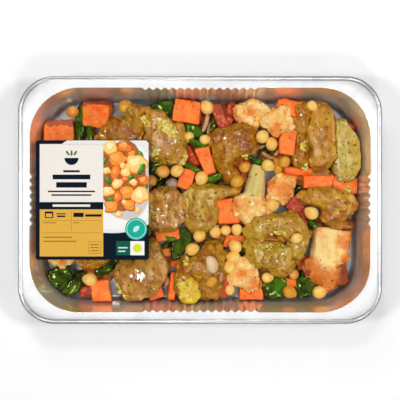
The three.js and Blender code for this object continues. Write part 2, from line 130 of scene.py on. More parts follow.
class Finish:
    """One procedural material, and short names for the nodes it is made of."""

    def __init__(self, name, **shader_values):
        self.material = bpy.data.materials.new(name)
        self.material.use_nodes = True
        self.tree = self.material.node_tree
        self.tree.nodes.clear()
        output = self.node("ShaderNodeOutputMaterial")
        self.shader = self.node("ShaderNodeBsdfPrincipled", **shader_values)
        self.tree.links.new(self.shader.outputs["BSDF"], output.inputs["Surface"])
        self.place = self.node("ShaderNodeTexCoord").outputs["Object"]

    def node(self, kind, **values):
        """A new node, with a constant or another node's output for each named input."""
        made = self.tree.nodes.new(kind)
        for socket, value in values.items():
            self.give(made.inputs[socket.replace("_", " ")], value)
        return made

    def give(self, socket, value):
        if isinstance(value, bpy.types.NodeSocket):
            self.tree.links.new(value, socket)
        else:
            socket.default_value = value

    def stretched(self, stretch, turn=0.0):
        """The place on the object, squeezed along each axis so that a pattern is drawn out."""
        rotation = (0, 0, math.radians(turn))
        mapping = self.node(
            "ShaderNodeMapping", Vector=self.place, Rotation=rotation, Scale=stretch
        )
        return mapping.outputs["Vector"]

    def clouds(self, size, detail=3.0, roughness=0.5, distortion=0.0, place=None):
        """Soft noise from 0 to 1, with features about size mm across."""
        return self.node(
            "ShaderNodeTexNoise",
            Vector=place or self.place,
            Scale=1 / (size * MM),
            Detail=detail,
            Roughness=roughness,
            Distortion=distortion,
        ).outputs["Fac"]

    def cells(self, size):
        """Distance from the nearest of many scattered points about size mm apart."""
        cells = self.node("ShaderNodeTexVoronoi", Vector=self.place, Scale=1 / (size * MM))
        return cells.outputs["Distance"]

    def attribute(self, name):
        """The value that each point of the mesh keeps under this name."""
        made = self.node("ShaderNodeAttribute")
        made.attribute_name = name
        return made.outputs["Fac"]

    def rise(self, value, low, high):
        """0 where value is below low, 1 above high, smooth between. low may be above high."""
        made = self.node("ShaderNodeMapRange", Value=value)
        made.interpolation_type = "SMOOTHSTEP"
        ends = (low, high, 0.0, 1.0) if low <= high else (high, low, 1.0, 0.0)
        for socket, end in zip(("From Min", "From Max", "To Min", "To Max"), ends):
            made.inputs[socket].default_value = end
        return made.outputs["Result"]

    def sum(self, first, second, operation="ADD"):
        made = self.node("ShaderNodeMath")
        made.operation = operation
        self.give(made.inputs[0], first)
        self.give(made.inputs[1], second)
        return made.outputs[0]

    def times(self, first, second):
        return self.sum(first, second, "MULTIPLY")

    def largest(self, first, *others):
        for other in others:
            first = self.sum(first, other, "MAXIMUM")
        return first

    def blend(self, factor, first, second):
        """Makes the base colour first where factor is 0, and second where it is 1. Both are
        linear colours with an alpha."""
        mix = self.node("ShaderNodeMix")
        mix.data_type = "RGBA"
        self.give(mix.inputs["Factor"], factor)
        self.give(mix.inputs[6], first)
        self.give(mix.inputs[7], second)
        self.tone = mix.outputs[2]
        self.give(self.shader.inputs["Base Color"], self.tone)

    def two_tones(self, factor, first, second):
        self.blend(factor, srgb(*first), srgb(*second))

    def lay(self, where, colour, strength=1):
        """Lays a colour over the base colour so far, as far as where times strength goes."""
        share = where if strength == 1 else self.times(where, strength)
        self.blend(share, self.tone, srgb(*colour))

    def roughness(self, size, least, spread, detail=3.0):
        """Roughness from least to least + spread, in patches about size mm across."""
        patches = self.times(self.clouds(size, detail), spread)
        self.give(self.shader.inputs["Roughness"], self.sum(patches, least))

    def relief(self, height, depth):
        """Bump of depth mm where height goes from 0 to 1, on top of any earlier one."""
        bump = self.node("ShaderNodeBump", Distance=depth * MM, Height=height)
        normal = self.shader.inputs["Normal"]
        if normal.is_linked:
            self.tree.links.new(normal.links[0].from_socket, bump.inputs["Normal"])
        self.tree.links.new(bump.outputs["Normal"], normal)


def foil_finish(name, colour, smear_and_painted_reflection, roughness, metallic):
    """Aluminium foil; a thin lacquer makes up what metallic leaves of 1."""
    look = Finish(name, Metallic=metallic, Specular_IOR_Level=0.3)
    # The second tone lies in broad patches. It is a faint smear on the foil, and on the inner wall a
    # warm tint that is painted reflection of the orange food, partly marinade oil.
    look.two_tones(look.rise(look.clouds(22, detail=4), 0.3, 0.7), colour, smear_and_painted_reflection)
    look.roughness(1.2, roughness - 0.05, 0.1, detail=2)
    rolling_marks = look.clouds(1.5, detail=2, place=look.stretched((1, 0.06, 1)))
    look.relief(rolling_marks, 0.01)
    look.relief(look.clouds(14), 0.5)
    return look.material


def film_finish():
    look = Finish("clear_film", Roughness=0.08, Alpha=0.03, Specular_IOR_Level=0.05)
    haze = look.clouds(30, detail=2)
    look.blend(haze, (0.03, 0.03, 0.03, 1), (0.05, 0.05, 0.05, 1))
    look.relief(look.clouds(45, detail=1), 0.4)
    return look.material


def chicken_finish(name, wet, flesh, marinade, paste, pale):
    """Raw meat under an oily marinade, with spice paste along its folds. wet is the share of
    the surface that shines."""
    look = Finish(
        name,
        Subsurface_Weight=0.18,
        Subsurface_Scale=0.003,
        Subsurface_Radius=(1.0, 0.45, 0.15),
        Coat_Weight=wet,
        Coat_Roughness=0.04,
        Coat_IOR=1.6,
        Specular_IOR_Level=0.15,
    )
    crease = look.attribute("crease")
    steep = look.attribute("edge")
    coating = look.clouds(13, detail=5, roughness=0.62, distortion=0.6)
    look.two_tones(look.rise(coating, 0.4, 0.6), flesh, marinade)
    look.lay(look.rise(look.clouds(27, detail=2), 0.46, 0.62), paste, 0.25)
    skin = look.clouds(9, detail=4, roughness=0.6, place=look.stretched((1, 0.3, 1), 35))
    look.lay(look.rise(skin, 0.52, 0.66), pale, 0.8)
    patches = look.rise(look.clouds(9, detail=4, roughness=0.6, distortion=0.8), 0.52, 0.68)
    rim = look.times(steep, look.rise(look.clouds(6, detail=4), 0.36, 0.54))
    gathered = look.largest(
        look.times(look.rise(crease, 0.1, 0.7), 0.5),
        look.times(patches, 0.75),
        look.times(rim, 0.7),
    )
    look.lay(gathered, paste)
    # Dark brown: where the clouds lay it, it is the meat's own tone; in the deepest creases and on
    # the steep sides it is painted shade.
    stains = look.rise(look.clouds(8, detail=4, roughness=0.6, distortion=0.4), 0.43, 0.31)
    deep = look.largest(
        look.times(stains, 0.7),
        look.times(look.rise(crease, 0.5, 1.0), 0.5),
        look.times(look.rise(steep, 0.3, 1.0), 0.4),
    )
    look.lay(deep, (108, 54, 4))
    spice = look.rise(look.cells(1.9), 0.22, 0.1)
    spiced = look.rise(look.clouds(7, detail=2), 0.47, 0.6)
    look.lay(look.times(spice, spiced), (78, 62, 10), 0.7)
    look.roughness(2.5, 0.12, 0.3)
    look.relief(look.clouds(1.2), 0.03)
    look.relief(look.clouds(6, detail=2, place=look.stretched((1, 0.3, 1), 35)), 0.7)
    return look.material


def moist_finish(name, scatter, coat, coat_roughness, specular):
    """The start of a look for moist plants. scatter is how far red, green and blue light
    goes into them."""
    return Finish(
        name,
        Subsurface_Weight=0.15,
        Subsurface_Scale=0.002,
        Subsurface_Radius=scatter,
        Coat_Weight=coat,
        Coat_Roughness=coat_roughness,
        Specular_IOR_Level=specular,
    )


def cauliflower_finish(name, pale, deep, stained):
    """Curd and stalk, stained by the marinade in blotches and browned here and there."""
    look = moist_finish(name, (1.0, 0.6, 0.3), 0.08, 0.25, 0.25)
    look.two_tones(look.rise(look.clouds(7, detail=5, roughness=0.65), 0.36, 0.64), pale, deep)
    # Darker orange in the grooves between the curds: painted shade in the recesses, partly marinade
    # gathered there.
    look.lay(look.rise(look.attribute("groove"), 0.3, 1.0), (230, 146, 46), 0.6)
    stalk = look.attribute("stalk")
    look.lay(stalk, (252, 220, 142), 0.7)
    look.lay(look.attribute("green"), (196, 188, 104), 0.6)
    veins = look.rise(look.clouds(4, place=look.stretched((1, 0.15, 1), 8)), 0.5, 0.66)
    look.lay(look.times(stalk, veins), (208, 180, 84), 0.3)
    uneven = look.sum(look.times(look.clouds(4, detail=4), 0.8), -0.4)

    def spots(kind, low, high):
        return look.rise(look.sum(look.attribute(kind), uneven), low, high)

    blots = look.rise(look.clouds(14, detail=5, roughness=0.6, distortion=0.8), 0.54, 0.68)
    look.lay(look.largest(look.times(blots, 0.4), spots("stain", 0.15, 0.75)), stained, 0.85)
    look.lay(spots("roast", 0.1, 0.6), (200, 104, 14), 0.62)
    look.lay(spots("burn", 0.2, 0.7), (128, 34, 6), 0.85)
    look.roughness(2, 0.3, 0.3)
    look.relief(look.cells(1.1), 0.22)
    look.relief(look.clouds(0.7, detail=2), 0.1)
    return look.material


def sweet_potato_finish(name, bright, deep):
    look = moist_finish(name, (1.0, 0.35, 0.1), 0.12, 0.2, 0.25)
    look.two_tones(look.rise(look.clouds(9, detail=5, roughness=0.6), 0.34, 0.66), bright, deep)
    fibre = look.clouds(3.5, detail=4, place=look.stretched((1, 1, 0.3), 20))
    look.lay(look.rise(fibre, 0.52, 0.7), (255, 158, 84), 0.5)
    oil = look.clouds(6, detail=4, roughness=0.65)
    look.lay(look.rise(oil, 0.58, 0.7), (214, 84, 22), 0.5)
    skin = look.sum(look.attribute("stain"), look.times(look.clouds(3), 0.3))
    look.lay(look.rise(skin, 0.3, 0.5), (158, 66, 28), 0.85)
    look.roughness(2.5, 0.28, 0.3)
    look.relief(look.clouds(1.0, detail=4), 0.2)
    look.relief(look.clouds(5), 0.4)
    return look.material


def pod_finish():
    look = Finish("green_pod", Specular_IOR_Level=0.6, Specular_Tint=(0.7, 1.0, 0.25, 1.0))
    look.two_tones(look.rise(look.clouds(9, detail=4), 0.38, 0.64), (18, 24, 0), (64, 88, 0))
    look.lay(look.rise(look.clouds(16, detail=2), 0.52, 0.66), (70, 130, 2), 0.6)
    look.lay(look.rise(look.clouds(6, detail=4), 0.56, 0.7), (96, 78, 4), 0.5)
    look.roughness(2, 0.05, 0.15)
    look.relief(look.clouds(1.3, detail=2, place=look.stretched((1, 0.2, 1), 40)), 0.04)
    look.relief(look.clouds(5, detail=1), 0.15)
    return look.material


def chickpea_finish(name, pale, deep):
    look = moist_finish(name, (1.0, 0.6, 0.3), 0.12, 0.2, 0.3)
    look.two_tones(look.rise(look.clouds(7), 0.36, 0.64), pale, deep)
    # Darker orange along the seam: painted shade in its groove.
    look.lay(look.attribute("crease"), (218, 150, 58), 0.6)
    look.lay(look.rise(look.clouds(3), 0.6, 0.72), (238, 160, 44), 0.4)
    look.roughness(2, 0.28, 0.25)
    look.relief(look.clouds(1.2), 0.1)
    return look.material


def plain_food_finish(name, first, second, size, gloss=0.3):
    """Small things of two tones in patches of about size mm, with a wet surface."""
    look = Finish(name, Coat_Weight=0.2, Coat_Roughness=0.15, Specular_IOR_Level=0.25)
    look.two_tones(look.rise(look.clouds(size), 0.38, 0.62), first, second)
    look.roughness(size, gloss, 0.2)
    look.relief(look.clouds(size / 2, detail=2), 0.12)
    return look.material


def print_finish(name, colour, mottle):
    """Coated paper printed in one colour, with the faint grain of the sheet."""
    look = Finish(name, Specular_IOR_Level=0.05)
    grain = look.rise(look.clouds(1.4, detail=4, roughness=0.7), 0.35, 0.65)
    look.two_tones(grain, colour, [min(255, channel + mottle) for channel in colour])
    look.roughness(0.5, 0.5, 0.1)
    look.relief(look.clouds(0.35, detail=2), 0.01)
    return look.material


# ---- Meshes ------------------------------------------------------------------------------


def new_piece(name, points, faces, materials, face_materials=None, smooth=True):
    """A mesh object from points in millimetres."""
    mesh = bpy.data.meshes.new(name)
    mesh.from_pydata([Vector(p) * MM for p in points], [], faces)
    for material in materials:
        mesh.materials.append(material)
    if face_materials:
        mesh.polygons.foreach_set("material_index", face_materials)
    mesh.polygons.foreach_set("use_smooth", [smooth] * len(mesh.polygons))
    mesh.update()
    piece = bpy.data.objects.new(name, mesh)
    bpy.context.scene.collection.objects.link(piece)
    return piece


def settle(piece, nodes=()):
    """Makes a piece part of the meal, in place of CAD nodes."""
    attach(piece, "root")
    if nodes:
        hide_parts(*nodes)


def set_point_values(mesh, name, values):
    attribute = mesh.attributes.new(name, "FLOAT", "POINT")
    attribute.data.foreach_set("value", values)


def ring_face(start, count):
    """One face over a ring of points that starts at an index."""
    return tuple(range(start, start + count))


def band(start, next_start, count):
    """Quads between two rings of points that start at the given indices."""
    quads = []
    for i in range(count):
        j = (i + 1) % count
        quads.append((start + i, start + j, next_start + j, next_start + i))
    return quads


def prism(outline, low, high):
    """Points and faces of a plate with this outline, between two heights."""
    count = len(outline)
    points = [(x, y, z) for z in (low, high) for x, y in outline]
    faces = [ring_face(0, count)[::-1], ring_face(count, count), *band(0, count, count)]
    return points, faces


def rounded_outline(left, bottom, right, top, corner, steps=8):
    outline = []
    centres = (
        (right - corner, top - corner),
        (left + corner, top - corner),
        (left + corner, bottom + corner),
        (right - corner, bottom + corner),
    )
    for quarter, (cx, cy) in enumerate(centres):
        for step in range(steps + 1):
            angle = (quarter + step / steps) * math.pi / 2
            outline.append((cx + corner * math.cos(angle), cy + corner * math.sin(angle)))
    return outline


def soft_copies(nodes, voxel, smoothing):
    """Fine, evenly meshed copies of CAD nodes, with their facets smoothed away."""
    copies = {}
    for node in nodes:
        copy = bpy.data.objects.new(node + "_look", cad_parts[node].data.copy())
        copy.data.materials.clear()
        bpy.context.scene.collection.objects.link(copy)
        remesh = copy.modifiers.new("even", "REMESH")
        remesh.mode = "VOXEL"
        remesh.voxel_size = voxel * MM
        smooth = copy.modifiers.new("smooth", "SMOOTH")
        smooth.factor = 0.5
        smooth.iterations = smoothing
        copies[node] = copy
    depsgraph = bpy.context.evaluated_depsgraph_get()
    for copy in copies.values():
        faceted = copy.data
        fine = bpy.data.meshes.new_from_object(copy.evaluated_get(depsgraph))
        copy.modifiers.clear()
        copy.data = fine
        bpy.data.meshes.remove(faceted)
        fine.polygons.foreach_set("use_smooth", [True] * len(fine.polygons))
    return copies


def wall_inset(up):
    """How far in from the rim the inner face of the wall lies, up mm above the floor."""
    if up < FOOT_HEIGHT:
        steep = 1 - up / FOOT_HEIGHT
        return FLANGE + WALL_LEAN + FOOT_RUN * (1 - math.sqrt(1 - steep * steep))
    share = (up - FOOT_HEIGHT) / (RIM_Z - LIP - FOIL - FOOT_HEIGHT)
    return FLANGE + WALL_LEAN - (WALL_LEAN - LIP_REACH) * min(share, 1.0) ** WALL_FLARE


def inside_tray(place):
    """The place itself, or the nearest one that is inside the flutes and under the film."""
    z = min(max(place.z, FOIL + ABOVE_FLOOR), RIM_Z - BELOW_RIM)
    inset = wall_inset(z - FOIL) + FLUTE_DEPTH + OFF_FLUTES
    corner = MOUTH_CORNER - WALL_LEAN
    straight_x = RIM_LENGTH / 2 - inset - corner
    straight_y = RIM_WIDTH / 2 - inset - corner
    beyond_x = abs(place.x) - straight_x
    beyond_y = abs(place.y) - straight_y
    if beyond_x > 0 and beyond_y > 0:
        shrink = min(1.0, corner / math.hypot(beyond_x, beyond_y))
        beyond_x *= shrink
        beyond_y *= shrink
    x = math.copysign(straight_x + min(beyond_x, corner), place.x)
    y = math.copysign(straight_y + min(beyond_y, corner), place.y)
    return Vector((x, y, z))


def carve(piece, relief):
    """Moves each point along its normal by relief(place, normal), which gives the distance
    and any values to keep for the material, all for places in millimetres."""
    mesh = piece.data
    places = [v.co / MM for v in mesh.vertices]
    normals = [v.normal.copy() for v in mesh.vertices]
    kept = {}
    for vertex, place, normal in zip(mesh.vertices, places, normals):
        distance, values = relief(place, normal)
        vertex.co = inside_tray(place + normal * distance) * MM
        for name, value in values.items():
            kept.setdefault(name, []).append(value)
    for name, values in kept.items():
        set_point_values(mesh, name, values)
    mesh.update()


def smoothstep(low, high, value):
    """0 at low and 1 at high, smooth between. low may be above high."""
    share = min(max((value - low) / (high - low), 0.0), 1.0)
    return share * share * (3 - 2 * share)


def nearness(place, spots):
    """1 in the middle of the nearest spot (x, y, radius), 0 at its edge and beyond."""
    best = 0.0
    for x, y, radius in spots:
        away = math.hypot(place.x - x, place.y - y) / radius
        best = max(best, 1 - away)
    return best


# ---- The tray and the film ---------------------------------------------------------------


def tray_ring(inset, z, corner, flute=0.0):
    """One ring of points round the tray: a rounded rectangle, with rounded flutes pressed
    inwards in the middle of each side."""
    half_length = RIM_LENGTH / 2 - inset
    half_width = RIM_WIDTH / 2 - inset
    sides = (
        (half_length, half_width, SHORT_SIDE_FLUTES),
        (half_width, half_length, LONG_SIDE_FLUTES),
    )
    ring = []
    for side in range(4):
        out, along, flutes = sides[side % 2]
        outline = []
        for step in range(flutes * STEPS_PER_FLUTE + 1):
            share = step / STEPS_PER_FLUTE
            dip = flute * 0.5 * (1 - math.cos(2 * math.pi * share))
            outline.append((out - dip, (share - flutes / 2) * FLUTE_PITCH))
        for step in range(CORNER_STEPS + 1):
            angle = step / CORNER_STEPS * math.pi / 2
            x = out - corner + corner * math.cos(angle)
            y = along - corner + corner * math.sin(angle)
            outline.append((x, y))
        turn = Matrix.Rotation(side * math.pi / 2, 2)
        ring += [turn @ Vector(p) for p in outline]
    return [(p.x, p.y, z) for p in ring]


def wall_profile(offset, floor_z, mouth_z):
    """(inset, height, corner, flute depth) for each ring of one face of the wall, from the
    floor's edge up to the mouth."""
    mouth = FLANGE + offset
    foot = mouth + WALL_LEAN
    foot_corner = MOUTH_CORNER - WALL_LEAN + 2
    rings = []
    for step in range(FOOT_RINGS):
        share = step / (FOOT_RINGS - 1)
        angle = share * math.pi / 2
        run = FOOT_RUN * (1 - math.sin(angle))
        z = floor_z + FOOT_HEIGHT * (1 - math.cos(angle))
        rings.append((foot + run, z, foot_corner - run, FLUTE_AT_FOOT * FLUTE_DEPTH * share**2))
    for step in range(1, WALL_RINGS + 1):
        share = step / WALL_RINGS
        inset = foot - (WALL_LEAN - LIP_REACH) * share**WALL_FLARE
        z = floor_z + FOOT_HEIGHT + (mouth_z - LIP - floor_z - FOOT_HEIGHT) * share
        corner = foot_corner + (MOUTH_CORNER - foot_corner) * share
        flute = FLUTE_DEPTH * (FLUTE_AT_FOOT + (1 - FLUTE_AT_FOOT) * share)
        rings.append((inset, z, corner, flute))
    for degrees in (30, 60, 90):
        angle = math.radians(degrees)
        inset = mouth + LIP_REACH - LIP_BACK * (1 - math.cos(angle))
        rings.append((inset, mouth_z - LIP * (1 - math.sin(angle)), MOUTH_CORNER, FLUTE_DEPTH))
    return rings


def build_tray():
    """The tray as one closed skin: floor with its pressed groove, walls, flange and bead."""
    groove_inset = FLANGE + WALL_LEAN + FOOT_RUN + GROOVE_FROM_FOOT
    floor = [
        (groove_inset + further_in, FOIL + up, GROOVE_CORNER - 0.4 * further_in, 0)
        for further_in, up in GROOVE
    ]
    inside = wall_profile(0, FOIL, RIM_Z)
    rim = RIM_CORNER - 2 * BEAD_RADIUS
    flange = [
        (FLANGE - 1.2, RIM_Z, MOUTH_CORNER - 0.5, 0.55 * FLUTE_DEPTH),
        (FLANGE - 3.0, RIM_Z, MOUTH_CORNER - 3, 0),
        (2 * BEAD_RADIUS + 1.0, RIM_Z, rim - 0.2, 0),
    ]
    bead = [(2 * BEAD_RADIUS + 0.3, RIM_Z - 0.45, rim + 0.4, 0)]
    for degrees in range(130, -151, -20):
        angle = math.radians(degrees)
        out = BEAD_RADIUS * math.cos(angle)
        z = RIM_Z - BEAD_RADIUS + BEAD_RADIUS * math.sin(angle)
        bead.append((BEAD_RADIUS - out, z, RIM_CORNER - BEAD_RADIUS + out, 0))
    under = [
        (2 * BEAD_RADIUS + 0.2, RIM_Z - FOIL, rim + 0.1, 0),
        (FLANGE - 3.0, RIM_Z - FOIL, MOUTH_CORNER - 3, 0),
    ]
    outside = wall_profile(-FOIL, 0, RIM_Z - FOIL)[::-1]
    outside += [
        (outside[-1][0] + 1, 0, outside[-1][2] - 1, 0),
        (groove_inset, 0, GROOVE_CORNER, 0),
    ]
    finishes = [
        # foil_wall: its warm second tone is painted reflection of the orange food, partly a thin
        # smear of marinade oil on the foil.
        foil_finish("foil_wall", (255, 248, 236), (255, 214, 164), 0.2, 0.55),
        foil_finish("foil_flange", (236, 236, 237), (226, 226, 228), 0.5, 0.6),
        # foil_floor and foil_bead are the same foil as the flange in darker colours: painted shade.
        foil_finish("foil_floor", (206, 210, 216), (182, 186, 192), 0.3, 0.6),
        foil_finish("foil_bead", (184, 184, 186), (172, 172, 174), 0.3, 0.95),
        foil_finish("foil_outside", (238, 238, 240), (228, 228, 230), 0.25, 0.85),
    ]
    wall_foil, flange_foil, floor_foil, bead_foil, outside_foil = range(len(finishes))
    zones = (
        (floor + inside[:FOOT_RINGS], floor_foil),
        (inside[FOOT_RINGS:], wall_foil),
        (flange, flange_foil),
        (bead, bead_foil),
        (under + outside, outside_foil),
    )
    rings = [(tray_ring(*ring), kind) for zone, kind in zones for ring in zone]
    count = len(rings[0][0])
    points = [p for ring, _ in rings for p in ring]
    faces = []
    kinds = []
    for number, (_, kind) in enumerate(rings[1:]):
        faces += band(number * count, (number + 1) * count, count)
        kinds += [kind] * count
    faces += [ring_face(0, count)[::-1], ring_face((len(rings) - 1) * count, count)]
    kinds += [floor_foil, outside_foil]
    tray = new_piece("foil_tray_look", points, faces, finishes, kinds)
    tray.data.flip_normals()
    settle(tray, ["foil_tray"])


def build_film():
    """The film, much thinner than its CAD plate."""
    low, high = ([c / MM for c in corner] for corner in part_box("lidding_film"))
    outline = rounded_outline(*low[:2], *high[:2], FILM_CORNER)
    points, faces = prism(outline, *(low[2] + up for up in FILM_HEIGHTS))
    film = new_piece("lidding_film_look", points, faces, [film_finish()], smooth=False)
    settle(film, ["lidding_film"])


# ---- The label ---------------------------------------------------------------------------


def disc(centre, radius, steps, start=0, end=360):
    """Points of a circle, or of a part of it."""
    points = []
    for step in range(steps + (end - start < 360)):
        angle = math.radians(start + (end - start) * step / steps)
        points.append((centre[0] + radius * math.cos(angle), centre[1] + radius * math.sin(angle)))
    return points


def blob(centre, radius, seed, wobble, steps=18, squash=0.85, turn=0.0):
    """An uneven round outline."""
    points = []
    for step in range(steps):
        angle = 2 * math.pi * step / steps
        way = Vector((math.cos(angle) * 1.3, math.sin(angle) * 1.3, seed * 3.7))
        reach = radius * (1 + wobble * noise.noise(way) * 2)
        x, y = reach * math.cos(angle), reach * squash * math.sin(angle)
        c, s = math.cos(turn), math.sin(turn)
        points.append((centre[0] + x * c - y * s, centre[1] + x * s + y * c))
    return points


def bar(left, bottom, length, height):
    right, top = left + length, bottom + height
    return [(left, bottom), (right, bottom), (right, top), (left, top)]


# Inks: colour, and how much lighter the grain of the paper makes it.
INKS = {
    "navy": ((2, 16, 30), 8),
    "cream": ((228, 222, 213), 6),
    "gold": ((216, 166, 64), 5),
    "rule": ((150, 112, 40), 4),
    "plate": ((222, 220, 217), 10),
    "plate_shade": ((198, 190, 186), 10),
    "teal": ((28, 160, 142), 8),
    "mint": ((176, 226, 214), 8),
    "green": ((14, 82, 62), 8),
    "white": ((234, 232, 229), 6),
    "lime": ((206, 214, 52), 8),
    "orange": ((232, 112, 36), 20),
    "rust": ((172, 74, 28), 24),
    "orange_light": ((250, 164, 84), 6),
    "ochre": ((226, 138, 46), 20),
    "toast": ((156, 82, 34), 24),
    "curd": ((240, 194, 112), 16),
    "curd_light": ((252, 226, 164), 4),
    "leaf_dark": ((34, 72, 24), 12),
    "leaf": ((62, 116, 38), 20),
    "leaf_light": ((118, 160, 66), 20),
}

# The inks of each food in the label's picture: shadow, body and shine.
FOOD_INKS = {
    "curd": ("ochre", "curd", "curd_light"),
    "roast": ("rust", "ochre", "orange_light"),
    "orange": ("rust", "orange", "orange_light"),
    "leaf": ("leaf_dark", "leaf", "leaf_light"),
}

# The food in the label's picture: kind, middle, radius, squash, turn.
HELPINGS = (
    ("curd", (63.5, 95.5), 7.0, 0.8, 0.2),
    ("leaf", (71.8, 91.6), 3.6, 0.5, 0.3),
    ("orange", (75.3, 96.2), 6.4, 0.8, -0.3),
    ("roast", (81.4, 90.6), 3.6, 0.7, 0.5),
    ("leaf", (88.6, 90.2), 3.6, 0.5, -0.9),
    ("leaf", (58.6, 84.5), 3.2, 0.5, 1.2),
    ("roast", (68.6, 85.4), 9.6, 0.62, 0.1),
    ("curd", (85.2, 81.6), 9.4, 0.9, 0.4),
    ("leaf", (89.6, 77.4), 5.2, 0.5, 1.1),
    ("orange", (68.2, 74.8), 6.8, 0.62, 1.2),
    ("curd", (60.2, 76.2), 3.4, 0.9, 0.0),
    ("curd", (76.4, 74.4), 4.6, 0.9, 0.6),
    ("curd", (82.6, 66.4), 3.6, 0.85, 0.2),
    ("leaf", (80.2, 70.0), 3.6, 0.55, 0.5),
    ("leaf", (61.0, 68.0), 4.2, 0.5, -1.0),
    ("curd", (69.6, 64.8), 5.6, 0.85, 0.3),
    ("orange", (91.6, 67.4), 4.8, 0.9, 0.1),
    ("curd", (61.4, 58.6), 5.6, 0.8, 0.1),
    ("leaf", (92.4, 60.8), 4.0, 0.5, 1.0),
    ("roast", (77.4, 57.2), 6.6, 0.85, 0.8),
    ("curd", (88.6, 55.2), 7.4, 1.1, 0.2),
    ("leaf", (63.4, 51.2), 4.0, 0.45, 0.2),
    ("orange", (69.6, 53.4), 5.6, 0.6, 1.4),
    ("roast", (64.0, 45.2), 7.0, 0.75, -0.2),
    ("roast", (79.2, 46.6), 5.6, 0.8, -0.4),
    ("curd", (70.2, 38.6), 2.9, 1.0, 0.0),
    ("curd", (86.4, 42.4), 2.4, 1.0, 0.0),
    ("curd", (73.6, 80.2), 2.6, 1.0, 0.0),
    ("orange", (75.6, 68.8), 2.6, 1.0, 0.0),
    ("curd", (74.8, 49.4), 2.4, 1.0, 0.0),
)


